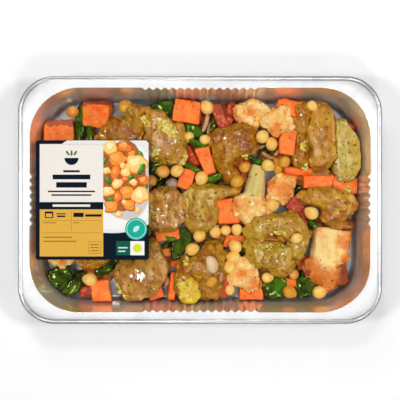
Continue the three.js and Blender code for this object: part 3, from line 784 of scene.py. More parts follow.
class Label:
    """A printed paper label. u runs from its left edge and v from its lower edge, in mm."""

    inks = list(INKS)

    def __init__(self):
        low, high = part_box("label")
        self.left, self.bottom, self.z = (c / MM for c in low)
        self.width = (high[0] - low[0]) / MM
        self.height = (high[1] - low[1]) / MM
        paper = self.placed(rounded_outline(0, 0, self.width, self.height, LABEL_CORNER))
        self.points, self.faces = prism(paper, *(self.z + up for up in PAPER_HEIGHTS))
        self.kinds = [self.inks.index("navy")] * len(self.faces)

    def placed(self, outline):
        return [(self.left + u, self.bottom + v) for u, v in outline]

    def flat(self, outline, ink, layer):
        """A field of ink. Higher layers lie on lower ones."""
        up = self.z + PAPER_HEIGHTS[1] + INK * layer
        self.faces.append(ring_face(len(self.points), len(outline)))
        self.points += [(x, y, up) for x, y in self.placed(outline)]
        self.kinds.append(self.inks.index(ink))

    def print_picture(self):
        """A plate of the meal on a pale cloth, in plain shapes."""
        right, top = self.width, self.height
        cloth = [(21.5, top - 3.4), (26.5, top - 0.2), (right - 2.2, top - 0.2)]
        cloth += [(right - 0.2, top - 2.2), (right - 0.2, 30), (90, 27.4), (84, 25.2), (78, 23.6)]
        cloth += [(71, 22.8), (64, 22.6), (PICTURE_LEFT, 22.9), (PICTURE_LEFT, top - 3.4)]
        self.flat(cloth, "plate", 1)
        plate = [(PICTURE_LEFT, 26.5), (66, 25.5), (76, 26.5), (86, 30), (right - 0.3, 36)]
        plate += [(right - 0.3, top - 12), (80, top - 0.4), (PICTURE_LEFT, top - 6)]
        self.flat(plate, "white", 2)

        def in_picture(outline):
            return [(min(max(u, PICTURE_LEFT), right - 0.3), min(v, top - 0.3)) for u, v in outline]

        self.flat(in_picture(blob((75, 65), 24, 3, 0.1, 30, 1.3)), "plate_shade", 3)
        self.flat(in_picture(blob((72.5, 69.5), 21, 9, 0.14, 30, 1.4)), "toast", 4)
        for number, (kind, (u, v), radius, squash, turn) in enumerate(HELPINGS):
            wobble = 0.12 if kind == "leaf" else 0.26
            parts = (
                ((u + 0.3, v - 0.5), radius, number, wobble, 20),
                ((u, v), 0.86 * radius, number, wobble, 20),
                ((u - 0.15 * radius, v + 0.18 * radius), 0.42 * radius, number + 50, 0.35, 14),
            )
            for above, (part, ink) in enumerate(zip(parts, FOOD_INKS[kind])):
                outline = in_picture(blob(*part, squash, turn))
                self.flat(outline, ink, 5 + 0.4 * number + 0.13 * above)

    def print_panel(self):
        """Bars and rules in place of wording, and a bowl with three leaves as a plain sign."""
        width = PICTURE_LEFT - PANEL_LEFT
        middle = 30.3
        self.flat(bar(PANEL_LEFT, 49, width, self.height - 3.2 - 49), "cream", 1)
        self.flat(bar(PANEL_LEFT, 2.8, width, 40), "gold", 1)
        for v in (33.2, 22.9):
            self.flat(bar(PANEL_LEFT + 2, v - 0.15, 50, 0.3), "rule", 2)
        self.flat(bar(30.2, 24.5, 0.3, 16.5), "rule", 2)
        self.flat(disc((middle, 86.5), 6.0, 24, 180, 360), "navy", 2)
        for lean in (-1, 0, 1):
            place = (middle + 3.2 * lean, 90.6)
            turn = math.pi / 2 - 0.6 * lean
            self.flat(blob(place, 2.4, lean + 2, 0.05, squash=0.42, turn=turn), "leaf", 2)
        lines = ((74.3, 14, 1.8), (68.3, 32, 4.0), (61.3, 26, 4.6), (57.4, 40, 1.3))
        for v, length, thick in (*lines, (54.3, 34, 1.3)):
            self.flat(bar(middle - length / 2, v, length, thick), "navy", 2)
        self.flat(bar(14.3, 45.0, 32, 2.0), "cream", 1)
        self.flat(rounded_outline(7.6, 35.3, 14.9, 41.0, 0.8), "navy", 2)
        self.flat(rounded_outline(8.5, 36.1, 14.0, 39.3, 0.4), "gold", 3)
        icons = ((17.5, 38.6, 8, 0.9), (18, 36.2, 7, 1.4), (32, 36.3, 8.6, 3.6), (42, 36.6, 14, 2.0))
        for place in icons:
            self.flat(bar(*place), "navy", 2)
        small = ((6.5, 31.0, 11, 0.8), (32, 31.0, 5, 0.8), (6.5, 18.6, 24, 1.0), (6.5, 15.2, 28, 1.0))
        for place in small:
            self.flat(bar(*place), "rule", 2)
        self.flat(rounded_outline(44.4, 5.2, 55.4, 15.6, 1.6), "rule", 2)
        self.flat(rounded_outline(44.8, 5.6, 55.0, 15.2, 1.4), "gold", 3)
        for row in range(3):
            self.flat(bar(46.3, 7.2 + 2.6 * row, 7.2, 1.0), "rule", 4)

    def print_stickers(self):
        """A round sticker over the picture's edge, and two square ones under it."""
        middle = (85.3, 26.2)
        for number, (radius, ink) in enumerate(((9.4, "teal"), (8.3, "mint"), (7.7, "teal"))):
            self.flat(disc(middle, radius, 40), ink, 19 + number)
        self.flat(blob(middle, 3.4, 5, 0.08, squash=0.55, turn=0.8), "mint", 22)
        self.flat(bar(68.3, 3.8, 12, 12), "green", 2)
        self.flat(bar(70.0, 9.6, 8, 1.2), "mint", 3)
        self.flat(bar(70.0, 6.6, 6, 1.2), "mint", 3)
        self.flat(bar(80.3, 3.8, 12, 12), "white", 2)
        self.flat(disc((86.3, 9.8), 3.8, 26), "lime", 3)


def build_label():
    label = Label()
    label.print_picture()
    label.print_panel()
    label.print_stickers()
    finishes = [print_finish("label_" + name, *ink) for name, ink in INKS.items()]
    piece = new_piece("label_look", label.points, label.faces, finishes, label.kinds, smooth=False)
    settle(piece, ["label"])


# ---- Food that stands for a CAD node -----------------------------------------------------


def build_soft(kind, voxel, smoothing, relief_of, finish_of):
    """Pieces for all CAD nodes of one kind of food. relief_of(node, seed) and
    finish_of(node) say how each is carved and what it is made of."""
    nodes = sorted(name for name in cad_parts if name.startswith(kind + "_"))
    copies = soft_copies(nodes, voxel, smoothing)
    for seed, node in enumerate(nodes, start=1):
        piece = copies[node]
        carve(piece, relief_of(node, seed))
        piece.data.materials.append(finish_of(node))
        settle(piece, [node])
    return list(copies.values())


# Tones of the chicken: share that shines, flesh, marinade, paste, pale skin.
CHICKEN_TONES = {
    "golden": (0.7, (204, 139, 50), (170, 96, 10), (220, 178, 26), (226, 174, 100)),
    "tan": (0.7, (198, 138, 68), (172, 104, 26), (220, 182, 36), (234, 190, 128)),
    "pink": (1.0, (200, 136, 74), (170, 106, 26), (212, 172, 30), (234, 184, 124)),
    "olive": (0.8, (196, 145, 52), (172, 118, 18), (218, 190, 36), (230, 196, 112)),
    "brown": (0.6, (180, 106, 12), (146, 70, 0), (212, 168, 12), (208, 148, 54)),
    "pale": (0.7, (212, 186, 98), (196, 162, 56), (224, 208, 80), (240, 236, 196)),
}

# Which tone each piece of chicken has, how its grain lies and how crumpled it is.
CHICKEN = {
    "chicken_left_back": ("brown", 60, 0.5),
    "chicken_by_label": ("tan", 25, 0.3),
    "chicken_big_back": ("brown", -15, 0.4),
    "chicken_corner_left": ("brown", 80, 0.4),
    "chicken_corner_middle": ("golden", 70, 0.2),
    "chicken_corner_right": ("pale", 100, 0.2),
    "chicken_right": ("golden", -10, 0.3),
    "chicken_band_right": ("olive", 15, 0.2),
    "chicken_front_right": ("olive", -25, 0.7),
    "chicken_centre": ("olive", 90, 0.1),
    "chicken_glossy": ("pink", 85, 0.2),
    "chicken_large_front": ("pink", 40, 0.0),
    "chicken_folded_front": ("brown", 60, 1.0),
    "chicken_under_label_front": ("golden", 30, 0.2),
    "chicken_under_label_middle": ("pink", 5, 0.2),
}


def meat_relief(node, seed):
    """Bundles, strands, folds and lumps of a piece of raw thigh meat."""
    _, grain_turn, crumple = CHICKEN[node]
    shift = Vector((seed * 37.1, seed * 11.3, seed * 5.7))
    along = Matrix.Rotation(math.radians(grain_turn), 3, "Z")

    def relief(place, normal):
        p = place + shift
        swell = 1.4 * noise.noise(p / 14)
        grain = along @ (p + noise.noise_vector(p / 12) * 4)
        phase = grain.y / 10.5 + 0.8 * noise.noise(p / 17) + 0.25 * noise.noise(p / 7)
        valley = 1 - smoothstep(0.0, 0.34, abs(math.sin(math.pi * phase)))
        rounded = 1 - valley * smoothstep(-0.15, 0.3, noise.noise(p / 15 + shift))
        folded = smoothstep(0.0, 0.2, abs(noise.noise(p / 15 - shift)))
        strands = 0.45 * noise.noise(Vector((grain.x / 14, grain.y / 3.6, grain.z / 3.6)))
        lump = noise.noise(p / 5.5)
        lumps = (0.4 + 1.9 * crumple) * lump
        distance = swell + strands + lumps + 1.7 * (rounded - 0.8) + 1.1 * (folded - 0.8)
        rounded = min(rounded, 0.5 + 0.5 * folded, 1 - crumple * smoothstep(0.0, -0.4, lump))
        # crease follows valleys, folds and hollows, and edge follows the steepness. The material lays
        # spice paste along both, and painted shade in the deepest creases and on the steepest sides.
        steep = 1 - smoothstep(0.3, 0.92, normal.z)
        return distance, {"crease": (1 - rounded) ** 2, "edge": steep}

    return relief


# Where a floret's smooth stalk or cut face lies: from and to, in mm in the tray, and how
# wide it is at each end; 1 is a green stalk, 0 a white cut face.
STALKS = {
    "cauliflower_middle": ((46.5, 4), (50, 30), 9, 8, 1.0),
    "cauliflower_corner": ((108, -66), (112, -20), 9, 25, 0.0),
}
COOKED_THROUGH = "cauliflower_stained_front"  # yellow all over, its curds boiled smooth

# Marinade stains, roasted parts and burnt spots on the florets: x, y, radius.
STAINS = (
    (29, 67, 15), (44, 76, 8), (38, 62, 10), (23, 72, 10), (66, 61, 10), (57, 55, 9),
    (73, 8, 15), (61, 13, 9), (31, -4, 9), (36, -64, 7), (30, -50, 7), (47, -73, 9),
    (124, -36, 12), (126, -50, 9), (94, -56, 14), (108, -78, 17), (88, -42, 9),
    (125, -64, 16), (104, -68, 15), (118, -76, 16), (114, -66, 12), (96, -30, 8),
    (100, -60, 10), (92, -30, 14), (104, -20, 13), (130, -28, 12), (-120, -54, 6),
)
ROASTS = (
    (104, -68, 16), (120, -76, 16), (94, -54, 12), (126, -58, 12), (96, -64, 12),
    (90, -40, 8), (129, -40, 7),
)
BURNS = (
    (127, -62, 13), (124, -77, 11), (127, -69, 13), (106, -82, 7), (114, -82, 6),
    (93, -64, 6), (89, -54, 4),
)


def stalk_share(stalk, place):
    """1 on a floret's stalk, 0 beside it and before its start."""
    start, end, start_width, end_width, _ = stalk
    start, end, here = Vector(start), Vector(end), Vector((place.x, place.y))
    run = end - start
    share = (here - start).dot(run) / run.length_squared
    along = min(max(share, 0.0), 1.0)
    away = (here - (start + run * along)).length
    half = start_width + (end_width - start_width) * along
    return (1 - smoothstep(0.75 * half, half, away)) * smoothstep(-0.15, 0.05, share)


def floret_relief(node, seed):
    """Curds within curds, smooth over a stalk."""
    shift = Vector((seed * 17.3, seed * 29.9, seed * 3.1))
    stalk = STALKS.get(node)
    curd_share = 0.35 if node == COOKED_THROUGH else 1.0

    def curds(p, size):
        nearest = noise.voronoi(p / size)[0][0]
        return max(0.0, 1 - (nearest / 0.75) ** 2)

    def relief(place, normal):
        p = place + shift
        on_stalk = stalk_share(stalk, place) if stalk else 0.0
        warp = noise.noise_vector(p / 6) * 1.2
        large = curds(p + warp, 8.5)
        medium = curds(p + warp * 0.7, 4.6)
        small = curds(p + warp * 0.5, 2.3)
        curd_height = 1.6 * (large - 0.6) + 0.9 * (medium - 0.6) + 0.6 * (small - 0.5)
        swell = 1.3 * noise.noise(p / 13) + 0.5 * noise.noise(p / 5) + 0.15 * noise.noise(p / 2)
        groove = max(0.9 - large, 0.8 * (0.85 - medium), 0.6 * (0.8 - small))
        return 0.4 + curd_share * curd_height * (1 - on_stalk) + swell, {
            "groove": (1 - on_stalk) * groove,
            "stalk": on_stalk,
            "green": on_stalk * stalk[4] if stalk else 0.0,
            "stain": nearness(place, STAINS),
            "roast": nearness(place, ROASTS),
            "burn": nearness(place, BURNS),
        }

    return relief


# Where the browned skin was left on the sweet potato: x, y, radius.
SKIN_SPOTS = (
    (-100, 86, 6), (-95, 87, 6), (-90, 87, 6), (-85, 87, 6), (-80, 86, 6), (-75, 84, 5),
    (-130, 67, 5), (-124, 68, 5), (-118, 68, 5), (-112, 67, 5), (127, 70, 6), (20, 80, 6),
    (26, 83, 6),
)
DEEP_SWEET_POTATO = ("sweet_potato_slab_back", "sweet_potato_right_middle")


def knife_cut_relief(_, seed):
    shift = Vector((seed * 7.9, seed * 13.7, seed * 21.1))

    def relief(place, normal):
        p = place + shift
        waves = 0.9 * noise.noise(p / 8) + 0.35 * noise.noise(p / 3)
        return waves + 0.12 * noise.noise(p / 1.5), {"stain": nearness(place, SKIN_SPOTS)}

    return relief


def pod_relief(node, _):
    """Peas that show through the pod's wall, in a row along its longer side."""
    low, high = (Vector(c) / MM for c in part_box(node))
    middle = ((low + high) / 2).xy
    axis = Vector((1, 0)) if high.x - low.x > high.y - low.y else Vector((0, 1))
    pea_pitch = 7.5

    def relief(place, normal):
        along = (place.xy - middle).dot(axis)
        pea = 0.5 * (1 + math.cos(2 * math.pi * along / pea_pitch))
        bulge = 0.15 * pea * max(0.0, normal.z)
        return bulge + 0.8 * noise.noise(place / 9) + 0.2 * noise.noise(place / 3), {}

    return relief


# ---- Loose things ------------------------------------------------------------------------


class Heap:
    """Collects many small meshes of one kind into one piece."""

    def __init__(self, name, materials):
        self.name = name
        self.materials = materials
        self.points = []
        self.faces = []
        self.kinds = []
        self.values = []

    def add(self, shape, place, turn=Matrix.Identity(3), kind=0):
        """shape is (points, faces, a value for each point); turn is a 3 by 3 matrix."""
        points, faces, values = shape
        start = len(self.points)
        self.points += [inside_tray(turn @ p + Vector(place)) for p in points]
        self.faces += [tuple(start + i for i in face) for face in faces]
        self.kinds += [kind] * len(faces)
        self.values += values

    def build(self, smooth=True, nodes=()):
        piece = new_piece(self.name, self.points, self.faces, self.materials, self.kinds, smooth)
        set_point_values(piece.data, "crease", self.values)
        settle(piece, nodes)
        return piece


def turned(turn=0.0, lean_x=0.0, lean_y=0.0):
    return Euler([math.radians(a) for a in (lean_x, lean_y, turn)], "XYZ").to_matrix()


def unit_sphere(level):
    ball = bmesh.new()
    bmesh.ops.create_icosphere(ball, subdivisions=level, radius=1.0)
    points = [v.co.copy() for v in ball.verts]
    faces = [tuple(v.index for v in f.verts) for f in ball.faces]
    ball.free()
    return points, faces


SPHERE_POINTS, SPHERE_FACES = unit_sphere(4)
CRUMB_POINTS, CRUMB_FACES = unit_sphere(3)


def half_sized(unit, size):
    """A point of the unit sphere, on an ellipsoid of the given length, width and height."""
    return Vector([u * s for u, s in zip(unit, size)]) * 0.5


def chickpea_shape(size, seed):
    """A cooked chickpea: a ball with a beak on its +X side and a seam that leads to it."""
    points = []
    values = []
    for unit in SPHERE_POINTS:
        beak = math.exp(-(1 - unit.x) / 0.16)
        on_top = smoothstep(-0.5, 0.7, unit.x) * smoothstep(-0.4, 0.5, unit.z + 0.3)
        seam = math.exp(-((unit.y / 0.13) ** 2)) * on_top
        dent = 0.5 * noise.noise(unit * 1.3 + Vector((seed * 5.1, 0, 0)))
        radius = 1 + 0.22 * beak - 0.07 * seam * (1 - beak) + 0.09 * dent
        points.append(Vector((unit.x, unit.y * 0.96, unit.z * 0.94)) * radius * size / 2)
        values.append(min(1.0, seam * (1 - 0.5 * beak)))
    return points, SPHERE_FACES, values


def lump_shape(size, seed, rough, fine=0.08):
    """An uneven lump of the given length, width and height."""
    points = []
    shift = Vector((seed * 3.3, seed * 7.7, 0))
    for unit in SPHERE_POINTS:
        swell = 1 + rough * noise.noise(unit * 1.4 + shift) + fine * noise.noise(unit * 5 + shift)
        points.append(half_sized(unit, size) * swell)
    return points, SPHERE_FACES, [0.0] * len(points)


def curd_shape(size, seed):
    """A crumb of cauliflower curd."""
    points = []
    values = []
    for unit in CRUMB_POINTS:
        nearest = noise.voronoi(unit * 2.6 + Vector((seed * 2.1, 0, 0)))[0][0]
        dome = max(0.0, 1 - (nearest / 0.8) ** 2)
        unevenness = 0.25 * noise.noise(unit * 2.2 + Vector((0, seed * 1.7, 0)))
        points.append(half_sized(unit, size) * (0.7 + 0.35 * dome + unevenness))
        values.append(1 - dome)
    return points, CRUMB_FACES, values


def cut_shape(size, seed):
    """A knife-cut block with softly rounded edges, its corners a little off square."""
    steps = 7
    bevel = 0.9
    wobble = 0.1
    shift = seed * 9.7
    half = Vector(size) / 2
    pushes = {}
    for x, y, z in itertools.product((-1, 1), repeat=3):
        corner = Vector((x * 2.1 + shift, y * 1.7, z * 1.3 + shift))
        pushes[x, y, z] = noise.noise_vector(corner) * wobble
    points = []
    index = {}
    faces = []

    def point(key):
        """The number of the point at a place on the block's grid, made when first met."""
        if key not in index:
            unit = Vector([2 * k / steps - 1 for k in key])
            square = Vector([u * h for u, h in zip(unit, half)])
            core = Vector([max(-h + bevel, min(h - bevel, u * h)) for u, h in zip(unit, half)])
            out = square - core
            if out.length > 1e-6:
                out = out.normalized() * bevel
            bend = Vector((0, 0, 0))
            for signs, push in pushes.items():
                bend += push * math.prod((1 + u * s) / 2 for u, s in zip(unit, signs))
            moved = core + out + Vector([b * s for b, s in zip(bend, size)])
            unevenness = noise.noise(moved / 2.2 + Vector((shift, 0, 0)))
            index[key] = len(points)
            points.append(moved + moved.normalized() * 0.25 * unevenness)
        return index[key]

    for i, j in itertools.product(range(steps), repeat=2):
        for side in (0, steps):
            quads = (
                [(side, i, j), (side, i + 1, j), (side, i + 1, j + 1), (side, i, j + 1)],
                [(j, side, i), (j, side, i + 1), (j + 1, side, i + 1), (j + 1, side, i)],
                [(i, j, side), (i + 1, j, side), (i + 1, j + 1, side), (i, j + 1, side)],
            )
            for quad in quads:
                face = tuple(point(key) for key in quad)
                faces.append(face if side else face[::-1])
    return points, faces, [0.0] * len(points)


def strip_shape(length, width, thickness, seed, curl):
    """A thin curved strip, such as sliced onion or a shred of pod."""
    steps, around = 14, 8
    points = []
    faces = []
    for step in range(steps + 1):
        share = step / steps
        bend = curl * length * (share - 0.5) ** 2
        narrow = math.sin(math.pi * (0.06 + 0.88 * share)) ** 0.5
        twist = 0.6 * noise.noise(Vector((share * 2, seed * 4.4, 0)))
        c, s = math.cos(twist), math.sin(twist)
        for corner in range(around):
            angle = 2 * math.pi * corner / around
            y = 0.5 * width * narrow * math.cos(angle)
            z = 0.5 * thickness * narrow * math.sin(angle)
            points.append(Vector(((share - 0.5) * length, y * c - z * s + bend, y * s + z * c)))
    for step in range(steps):
        faces += band(step * around, (step + 1) * around, around)
    faces += [ring_face(0, around)[::-1], ring_face(steps * around, around)]
    return points, [face[::-1] for face in faces], [0.0] * len(points)


def fleck_shape(size, seed):
    """A flake of dried herb or chilli: a thin bent scrap."""
    corners = 6
    points = []
    for level in (-1, 1):
        for corner in range(corners):
            angle = corner * 2 * math.pi / corners
            reach = size * (0.5 + 0.3 * noise.noise(Vector((corner * 1.7, seed * 3.1, 0))))
            x = reach * math.cos(angle)
            y = 0.65 * reach * math.sin(angle)
            points.append(Vector((x, y, 0.12 * size * level + 0.12 * x * x / size)))
    faces = [ring_face(corners, corners), ring_face(0, corners)[::-1], *band(0, corners, corners)]
    return points, faces, [0.0] * len(points)


class Surface:
    """The top of what has been laid so far, for putting things on it."""

    def __init__(self, pieces):
        points = []
        faces = []
        for piece in pieces:
            start = len(points)
            points += [v.co / MM for v in piece.data.vertices]
            faces += [tuple(start + i for i in f.vertices) for f in piece.data.polygons]
        self.tree = BVHTree.FromPolygons(points, faces)

    def top(self, x, y):
        """(height, normal) of the highest surface at a place, or (None, None) where bare."""
        hit, normal, _, _ = self.tree.ray_cast(Vector((x, y, RIM_Z + 20)), Vector((0, 0, -1)))
        if hit is None:
            return None, None
        return hit.z, -normal if normal.z < 0 else normal

    def resting_height(self, x, y, radius, low):
        """How high the middle of a round thing comes to lie at a place. low is the least
        height of what can be under it."""
        heights = []
        for dx, dy in ((0, 0), (0.5, 0), (-0.5, 0), (0, 0.5), (0, -0.5)):
            height, _ = self.top(x + dx * radius, y + dy * radius)
            heights.append(FOIL if height is None else height)
        middling = sorted(heights)[2]
        return min(max(middling, low) + 0.62 * radius, RIM_Z - 1.5 - 1.1 * radius)


# Chickpeas with a CAD node: which way the beak points, how far it dips, kind (0 pale,
# 1 yellow, 2 orange).
NODE_CHICKPEAS = {
    "chickpea_back_middle": (60, 30, 0),
    "chickpea_back_right": (90, 0, 0),
    "chickpea_right": (200, 20, 1),
    "chickpea_right_middle": (-30, 0, 0),
    "chickpea_right_front": (150, 0, 0),
    "chickpea_front_right": (20, 0, 0),
    "chickpea_by_label": (180, 0, 2),
    "chickpea_middle": (30, 0, 0),
}

# The x and y of the tables below were read from straight above, at the scale of the rim and
# half a millimetre low in y. The food lies under the rim, so it looks nearer the middle than it
# is: on_tray() moves it out again, and the chickpeas, which lie on top, a little less.
TABLE_SCALE = 1.02
CHICKPEA_TABLE_SCALE = 1.018
TABLE_MIDDLE_Y = -0.5

# Loose chickpeas: x, y, size, which way the beak points, how far it dips, kind.
LOOSE_CHICKPEAS = (
    (-109, 75, 10.5, 200, 20, 2), (-64.5, 79.5, 11.5, 40, 20, 1), (6, 78.5, 12, 120, 10, 0),
    (-9.5, 53.5, 9.5, 90, 40, 0), (4, 51, 9, 0, 0, 0), (66, 27, 9.5, -60, 0, 1),
    (95, 79.5, 9.5, -40, -20, 0), (32, 15.5, 11, 210, 0, 1), (38, 27.5, 10, 30, 0, 1),
    (61, -5, 11, 0, 0, 0), (13, -28, 10.5, 100, 0, 0), (22, -26.5, 9.5, 80, 60, 0),
    (31.5, -25.5, 10, -90, 0, 0), (30.5, -40.5, 11.5, 140, 0, 0), (-0.5, -31, 11, 60, 10, 0),
    (-7, -43, 11.5, 20, 0, 0), (1.5, 18.5, 12, 250, 0, 0), (-42, 16, 10.5, 160, 0, 2),
    (-44, 1, 10, 90, 0, 1), (10, -69.5, 9.5, 200, 0, 1), (29, -49.5, 11.5, 180, 0, 0),
    (25, -58, 11.5, 75, 0, 0), (25.5, -77.5, 9, 80, 30, 0), (57.5, -67, 9.5, 0, 0, 0),
    (76.5, -79, 11.5, -30, 0, 1), (102, -79.5, 11.5, 10, 0, 0), (-94, -68.5, 12, 170, 0, 0),
    (80.5, -64.5, 9, 60, 40, 2), (66.5, 31, 9, 120, 0, 1),
)
# Further pieces of sweet potato: x, y, length, width, height, turn, lean, kind (0 bright,
# 1 deep).
SWEET_POTATO_BITS = (
    (-88.5, 82, 22, 7, 14, -5, 35, 1), (-89, 52.5, 8, 6, 7, 20, 0, 0),
    (-6.5, 37, 20, 10, 14, -60, 20, 1), (26, 77.5, 14, 9, 12, 60, 10, 1),
    (125.5, 61, 13, 12, 14, -30, 10, 1), (34.5, -18.5, 9, 5, 9, -20, 0, 1),
    (31, -34, 19, 7, 7, -3, 0, 0), (23, -37.5, 8, 5, 6, 70, 0, 0),
    (86.5, -17, 13, 8, 8, -60, 10, 1), (84, 25, 27, 7, 8, -3, 15, 0),
    (76, 17.5, 14, 8, 8, -10, 10, 0), (-20.5, -53, 13, 9, 12, 60, 20, 0),
    (-38, -80, 13, 11, 12, 20, 0, 0), (-24, -74, 24, 6, 14, 83, 10, 0),
    (20.5, -75.5, 18, 6, 12, 80, 10, 1), (41.5, -56, 13, 6, 10, 70, 0, 0),
    (77.5, -71.5, 11, 7, 9, -10, 0, 0), (-97.5, -79, 14, 9, 11, 10, 0, 1),
    (-84.5, -58.5, 14, 4, 8, 55, 10, 0), (11, 35, 8, 5, 10, 70, 0, 1),
    (24, 66, 10, 6, 10, 60, 0, 1), (-95, -62, 10, 7, 8, 20, 0, 1),
)
# Shreds of pod in the gaps: x, y, length, width, turn, height above the floor.
POD_SHREDS = (
    (-94, 57, 20, 7, 100, 16), (-2, 47.5, 18, 6, -20, 22), (-8, 27, 16, 6, -25, 20),
    (12, 17, 16, 9, 25, 19), (47.5, 33, 14, 6, -20, 20), (11.5, 63, 12, 6, 80, 19),
    (-27, -33.5, 14, 6, -15, 18), (-106, -75, 20, 8, 60, 16), (-81, -60, 20, 9, 30, 15),
    (-75, -53, 16, 8, -20, 16), (-38, 27, 18, 9, 20, 20), (-45, 20, 14, 8, 70, 18),
    (46, -33, 12, 5, 60, 17), (-20, 2, 12, 5, 85, 16), (19, 24, 10, 5, 60, 18),
    (72, 70, 12, 5, -30, 18), (118, 12, 12, 5, 10, 17), (97, -22, 12, 6, -40, 16),
)
# Torn bits of chicken between the large pieces: x, y, length, width, turn, height.
MEAT_BITS = (
    (70, -33, 11, 9, 20, 17), (52, -33, 10, 9, 60, 17), (61, -40, 12, 7, 0, 12),
    (61, -29, 12, 5, 5, 11), (30, 8, 14, 10, 60, 17), (-12, 52, 8, 9, 0, 16),
    (-47, 18, 10, 12, 20, 17), (4, -86, 14, 8, 10, 11), (110, 12, 14, 8, 10, 14),
    (-60, 50, 12, 8, 20, 14), (42, -21, 9, 7, 30, 14), (110, 55, 36, 12, 80, 19),
    (92, 56, 34, 10, 84, 17), (60, -34, 18, 10, 10, 14), (121, -22, 26, 12, 0, 10),
    (104, 22, 24, 10, 0, 12),
)
# Onion, sliced or in pieces: x, y, length, width, turn, curl.
ONION_STRIPS = (
    (5.5, 66, 20, 4.5, 75, 0.3), (8.5, 62, 17, 3.5, 70, -0.2), (59, 36.5, 14, 4, -25, 0.3),
    (52, 45, 8, 4, 10, 0.2), (18, -66, 9, 4, 80, 0.3), (-28.5, -70.5, 8, 5, 80, 0.2),
    (66.5, 41, 9, 3.5, 60, 0.2), (-57, 52, 8, 3, 20, 0.3),
)
# Crumbled yellow curd stuck to the meat: x, y, length, width, turn, number of crumbs.
YELLOW_CURDS = (
    (-29, 62, 19, 11, -30, 70), (-22, 55, 7, 8, 0, 14), (-37, 38, 6, 9, 20, 16),
    (-14, 33, 6, 9, -20, 14), (-16, -70, 6, 14, -10, 8), (-13, -82, 10, 7, 20, 8),
    (-12, -51, 5, 12, 20, 12), (-72, -78, 10, 17, 10, 40), (66, -28.5, 16, 3, 5, 18),
    (59, -40, 10, 5, 30, 12), (88, 46, 5, 16, 10, 18), (90, 26, 6, 8, 0, 10),
    (-46, 66, 6, 10, 30, 12), (126, 8, 6, 8, 40, 10), (40, 36, 9, 4, -30, 12),
)


def on_tray(x, y, scale=TABLE_SCALE):
    """A place from the tables above, on the tray."""
    return scale * x, scale * (y - TABLE_MIDDLE_Y)


def build_chickpeas(surface):
    """The chickpeas, and a bean and the root end of an onion among them."""
    materials = [
        chickpea_finish("chickpea_pale", (255, 218, 124), (255, 194, 88)),
        chickpea_finish("chickpea_yellow", (234, 176, 54), (216, 144, 26)),
        chickpea_finish("chickpea_orange", (240, 176, 82), (224, 142, 46)),
    ]
    for number, (node, (turn, dip, kind)) in enumerate(NODE_CHICKPEAS.items()):
        low, high = (Vector(c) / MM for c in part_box(node))
        heap = Heap(node + "_look", materials)
        shape = chickpea_shape((high.z - low.z) * 0.97, number)
        heap.add(shape, (low + high) / 2, turned(turn, 0, dip), kind)
        heap.build(nodes=[node])
    loose = Heap("chickpeas_loose", materials)
    for number, (x, y, size, turn, dip, kind) in enumerate(LOOSE_CHICKPEAS):
        x, y = on_tray(x, y, CHICKPEA_TABLE_SCALE)
        z = surface.resting_height(x, y, size / 2, 16)
        loose.add(chickpea_shape(size, number + 40), (x, y, z), turned(turn, 0, dip), kind)
    loose.build()

    bean = Heap("bean", [plain_food_finish("bean", (226, 190, 142), (236, 206, 164), 5)])
    x, y = 10.2, -55.5
    z = surface.resting_height(x, y, 5.5, 16)
    bean.add(lump_shape((10.5, 16, 9), 3, 0.12, 0.02), (x, y, z), turned(15))
    bean.build()
    root = Heap("onion_root", [plain_food_finish("onion_root", (172, 142, 118), (150, 118, 92), 4)])
    x, y = -24.4, 14.2
    z = surface.resting_height(x, y, 5.3, 14)
    root.add(lump_shape((11, 10.5, 8), 8, 0.15), (x, y, z))
    root.build()


def build_bits(surface, bright, deep, pod, meat):
    """Sweet potato, pod, chicken and onion in pieces too small for a CAD node."""
    cubes = Heap("sweet_potato_bits", [bright, deep])
    for number, (x, y, length, width, height, turn, lean, kind) in enumerate(SWEET_POTATO_BITS):
        x, y = on_tray(x, y)
        top, _ = surface.top(x, y)
        z = max(height / 2 + FOIL + 1, min(17, (top or 0) + 1.5) - height / 2 + 3)
        cubes.add(cut_shape((length, width, height), number), (x, y, z), turned(turn, lean), kind)
    cubes.build()

    shreds = Heap("pod_shreds", [pod])
    for number, (x, y, length, width, turn, z) in enumerate(POD_SHREDS):
        shape = strip_shape(length, width, 3.4, number, 0.35)
        shreds.add(shape, (*on_tray(x, y), z), turned(turn, 12))
    shreds.build()

    torn = Heap("chicken_bits", [meat])
    for number, (x, y, length, width, turn, z) in enumerate(MEAT_BITS):
        shape = lump_shape((length, width, 12), number + 70, 0.45, 0.1)
        torn.add(shape, (*on_tray(x, y), z), turned(turn, 10))
    torn.build()

    skin = plain_food_finish("onion", (206, 158, 112), (184, 120, 70), 5, 0.2)
    onion = Heap("onion_strips", [skin])
    for number, (x, y, length, width, turn, curl) in enumerate(ONION_STRIPS):
        x, y = on_tray(x, y)
        z = surface.resting_height(x, y, 2.0, 15)
        onion.add(strip_shape(length, width, 2.6, number + 30, curl), (x, y, z), turned(turn, 15))
    onion.build()


